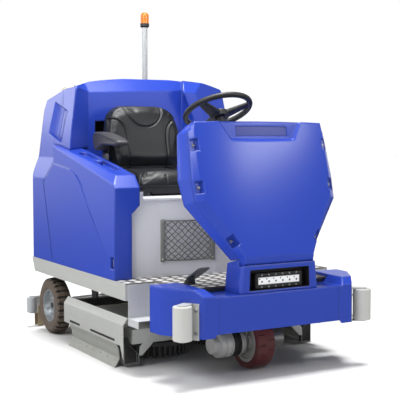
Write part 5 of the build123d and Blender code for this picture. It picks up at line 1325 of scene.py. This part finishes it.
lamp = {
    "cells": 6,
    "rim": 0.011,               # of the frame over the glass, in metres
    "side": 0.012,              # of the frame beside it
    "lip": 0.006,               # of the frame over and under it
    "thick": 0.0022,
    "proud": 0.002,             # of the frame before the reflector
    "gap": 0.0002,
    "overlap": 0.001,
    "bevels": (0.0004, 0.0012, 0.0006),     # of the reflector, the frame's long bars and its short ones
    "diode": (0.0052, 0.003, -0.004),       # radius, place from the middle of a cell
    "sensor": (0.0036, -0.011, 0.009),
    "diodeRise": 0.0014,
    "screw": (0.0036, 0.0022, 20),          # radius, height, sides
}

lampTray = {
    "half": 182,
    "topHalf": 177,
    "low": 446,
    "high": 549,
    "front": 13,
    "back": 63,
    "gap": 0.5,
    "skin": 1.4,
}


def shrunk(outline, inset):
    middle = Vector((sum(x for x, z in outline), sum(z for x, z in outline))) / len(outline)
    ring = []
    for x, z in outline:
        ring.append((x - math.copysign(inset, x - middle.x), z - math.copysign(inset, z - middle.y)))
    return ring


def addDarkSleeve(name, outline, plan):
    outer = shrunk(outline, plan["gap"])
    inner = shrunk(outline, plan["gap"] + plan["skin"])
    front, back = plan["front"], plan["back"]
    bm = bmesh.new()
    rows = []
    for ring, s in ((outer, front), (inner, front), (inner, back), (outer, back)):
        rows.append([bm.verts.new(spot(x, s, z)) for x, z in ring])
    bridgeRings(bm, zip(rows, rows[1:] + rows[:1]))
    if "floor" in plan:
        ends = [[bm.verts.new(spot(x, back - off, z)) for x, z in inner] for off in plan["floor"]]
        for ring in ends:
            bm.faces.new(ring)
        bridgeRings(bm, [ends])
    addSolid(bm, name, "black_plastic", "machine", False)


def makeLampFrame(low, high, front):
    rim, side, lip, over = lamp["rim"], lamp["side"], lamp["lip"], lamp["overlap"]
    plateBevel, barBevel, endBevel = lamp["bevels"]
    rear = low.y - lamp["gap"]
    ahead = front - lamp["proud"]
    bm = bmesh.new()
    softBox(bm, (low.x - over, front + over, low.z + rim), (high.x + over, rear, high.z - rim), plateBevel)
    addSolid(bm, "lampReflector", "reflector", "machine")
    bm = bmesh.new()
    for a, b in ((low.z - lip, low.z + rim), (high.z - rim, high.z + lip)):
        softBox(bm, (low.x - side, ahead, a), (high.x + side, rear, b), barBevel)
    for a, b in ((low.x - side, low.x), (high.x, high.x + side)):
        first = (a, ahead + lamp["gap"], low.z + rim - over)
        softBox(bm, first, (b, rear, high.z - rim + over), endBevel)
    addSolid(bm, "lampFrame", "black_metal", "machine")


def makeLamp():
    low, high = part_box("led_lenses")
    low.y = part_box("led_bar")[0].y
    front = low.y - lamp["thick"]
    makeLampFrame(low, high, front)
    over = lamp["overlap"]
    ahead = Vector((0, -1, 0))
    pitch = (high.x - low.x) / lamp["cells"]
    level = (low.z + high.z) / 2
    middles = [low.x + pitch * (i + 0.5) for i in range(lamp["cells"])]
    for name, (radius, right, up) in (("lampDiodes", lamp["diode"]), ("lampSensors", lamp["sensor"])):
        places = [Vector((x + right, front + over, level + up)) for x in middles]
        places = [aligned(place, ahead, Vector((1, 0, 0))) for place in places]
        shape = domeMesh(name + "Shape", radius, lamp["diodeRise"])
        settle(repeatPieces(name, shape, places, materials["diode"]), "machine")
    screws = []
    for x in middles:
        for z in (low.z - over, high.z + over):
            screws.append(aligned(Vector((x, front - lamp["proud"], z)), ahead, Vector((0, 0, 1))))
    shape = boltMesh("lampScrew", *lamp["screw"])
    settle(repeatPieces("lampScrews", shape, screws, materials["steel"]), "machine")
    foot = [(side * lampTray["half"], lampTray["low"]) for side in (-1, 1)]
    top = [(side * lampTray["topHalf"], lampTray["high"]) for side in (1, -1)]
    addDarkSleeve("lampTray", foot + top, lampTray)


makeLamp()


# Black sleeve of painted shade in the hand hole beside the backrest

handHole = {
    "left": -385,
    "right": -304,
    "low": 1232,
    "high": 1300,
    "front": 1401,
    "back": 1489,
    "gap": 0.4,
    "skin": 1.6,
    "floor": (1.5, 0.2),      # near and far face of its floor, before the back
}


def makeHandHole():
    left, right = handHole["left"], handHole["right"]
    low, high = handHole["low"], handHole["high"]
    # black sleeve standing in for the dark of the opening: painted shade
    addDarkSleeve("handHoleLiner", [(left, low), (right, low), (right, high), (left, high)], handHole)


makeHandHole()
print("lamp and hand hole made")


# Bare name plate on the front cover

namePlate = {
    "lean": 15.0,
    "footS": 4.0,
    "footZ": 613.0,
    "middle": 641.0,      # up the cover from its foot
    "half": 152.0,
    "height": 45.0,
    "gap": 0.0003,
    "thick": 0.0012,
    "probe": (0.1, 0.3),
    "columns": 24,
    "rows": 4,
}


def makeNamePlate():
    lean = math.radians(namePlate["lean"])
    up = Vector((0, math.sin(lean), math.cos(lean)))
    out = Vector((0, -math.cos(lean), math.sin(lean)))
    foot = spot(0, namePlate["footS"], namePlate["footZ"])
    off, reach = namePlate["probe"]
    bm = bmesh.new()
    grid = []
    for j in range(namePlate["rows"] + 1):
        row = []
        for i in range(namePlate["columns"] + 1):
            x = namePlate["half"] * (2 * i / namePlate["columns"] - 1)
            y = namePlate["middle"] + namePlate["height"] * (j / namePlate["rows"] - 0.5)
            start = foot + Vector((x / 1000, 0, 0)) + up * y / 1000 + out * off
            hit = strike("front_cover", start, -out, reach)
            row.append(bm.verts.new(hit[0] + out * namePlate["gap"]))
        grid.append(row)
    for j in range(namePlate["rows"]):
        for i in range(namePlate["columns"]):
            bm.faces.new((grid[j][i], grid[j][i + 1], grid[j + 1][i + 1], grid[j + 1][i]))
    made = bmesh.ops.extrude_face_region(bm, geom=bm.faces[:])
    lifted = [v for v in made["geom"] if isinstance(v, bmesh.types.BMVert)]
    bmesh.ops.translate(bm, vec=out * namePlate["thick"], verts=lifted)
    addSolid(bm, "namePlate", "plate_blue", "machine", False)


makeNamePlate()


# Draw latches in the side tanks' pockets, black strips of painted shade in the deck guards' slots, cover of
# the backrest's hinge

latch = {
    "half": 638,      # to the tank's outer face
    # depth in from that face, s and z of each block's two corners, and its bevel, in millimetres
    "blocks": [
        ((21.5, 600, 520), (17, 635, 571), 1.2),
        ((17.5, 606, 526), (10, 629, 534), 2.0),
        ((17.5, 609, 552), (12, 626, 566), 2.0),
        ((13, 611, 530), (9, 624, 562), 1.6),
    ],
}


def makeLatches():
    for side, name in ((-1, "tankLatchRight"), (1, "tankLatchLeft")):
        bm = bmesh.new()
        for first, second, bevel in latch["blocks"]:
            a, b = [spot(side * (latch["half"] - deep), s, z) for deep, s, z in (first, second)]
            boxBetween(bm, a, b, bevel / 1000)
        addSolid(bm, name, "steel", "machine")


makeLatches()

# black strips set in the deck guards' slots: painted shade for the dark gap there
slotShade = {
    "outer": 629,
    "sheet": 4.0,
    "low": 136,
    "high": 150,
    "spans": ((610, 930), (1076, 1226)),
    "gap": 0.3,
    "thick": 1.5,
    "bevel": 0.0004,
}


def makeSlotShade():
    bm = bmesh.new()
    gap = slotShade["gap"]
    deep = slotShade["outer"] - slotShade["sheet"] + gap
    for side in (-1, 1):
        for start, end in slotShade["spans"]:
            a = spot(side * deep, start + gap, slotShade["low"] + gap)
            b = spot(side * (deep + slotShade["thick"]), end - gap, slotShade["high"] - gap)
            boxBetween(bm, a, b, slotShade["bevel"])
    # black rubber finish on the painted shade strips
    addSolid(bm, "slotSeals", "black_rubber", "deck")


makeSlotShade()

hinge = {"place": (-416, 1180, 1083), "size": (0.020, 0.050, 0.048), "bevel": 0.005}


def makeHinge():
    bm = bmesh.new()
    half = Vector(hinge["size"]) / 2
    middle = spot(*hinge["place"])
    softBox(bm, middle - half, middle + half, hinge["bevel"], 3)
    addSolid(bm, "backHinge", "hinge_grey", "seat")


makeHinge()


# Dark blue tubes of painted shade along the parting lines between the side tanks and the rear tank, and a
# band round the drive motor

seam = {
    "radius": 0.0022,
    "sides": 8,
    "sink": 0.55,      # share of the radius under the surface
    "nodes": ("side_tank_{}", "recovery_tank", "seat_surround"),
    # s, z in millimetres, from the foot up
    "path": [(1468, 470), (1495, 560), (1564, 790), (1604, 930), (1560, 1000), (1530, 1050), (1530, 1146),
             (1498, 1230), (1484, 1340), (1470, 1462)],
    "step": 18.0,
    "away": 800,
    "reach": 0.4,
}


def seamPoint(side, name, p):
    best = None
    start = spot(side * seam["away"], p.x, p.y)
    for node in seam["nodes"]:
        hit = strike(node.format(name), start, Vector((-side, 0, 0)), seam["reach"])
        if hit and (best is None or abs(hit[0].x) > abs(best.x)):
            best = hit[0]
    return best


def makeSeams():
    lines = []
    path = [Vector(p) for p in seam["path"]]
    for side, name in ((-1, "right"), (1, "left")):
        line = []
        for a, b in zip(path[:-1], path[1:]):
            count = max(1, int((b - a).length / seam["step"]))
            for i in range(count):
                place = seamPoint(side, name, a + (b - a) * i / count)
                if place:
                    line.append(place - Vector((side * seam["radius"] * seam["sink"], 0, 0)))
        lines.append(line)
    piece = tubePieces("tankSeams", lines, seam["radius"], materials["seam_shadow"], seam["sides"])
    settle(piece, "machine")
    print("seam points:", [len(line) for line in lines])


makeSeams()

band = {"near": 0.105, "far": 0.150, "lift": 0.0012, "thick": 0.01, "sides": 48}


def makeMotorBand():
    low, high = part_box("drive_motor")
    middle = (low + high) / 2
    outer = (high.z - low.z) / 2 + band["lift"]
    inner = outer - band["thick"]
    near, far = low.x + band["near"], low.x + band["far"]
    turns = [2 * math.pi * i / band["sides"] for i in range(band["sides"])]
    bm = bmesh.new()
    rows = []
    for x, size in ((near, outer), (far, outer), (far, inner), (near, inner)):
        ring = [(x, middle.y + size * math.cos(turn), middle.z + size * math.sin(turn)) for turn in turns]
        rows.append([bm.verts.new(point) for point in ring])
    bridgeRings(bm, zip(rows, rows[1:] + rows[:1]))
    addSolid(bm, "motorBand", "black_plastic", "turntable")


makeMotorBand()
print("small parts made")
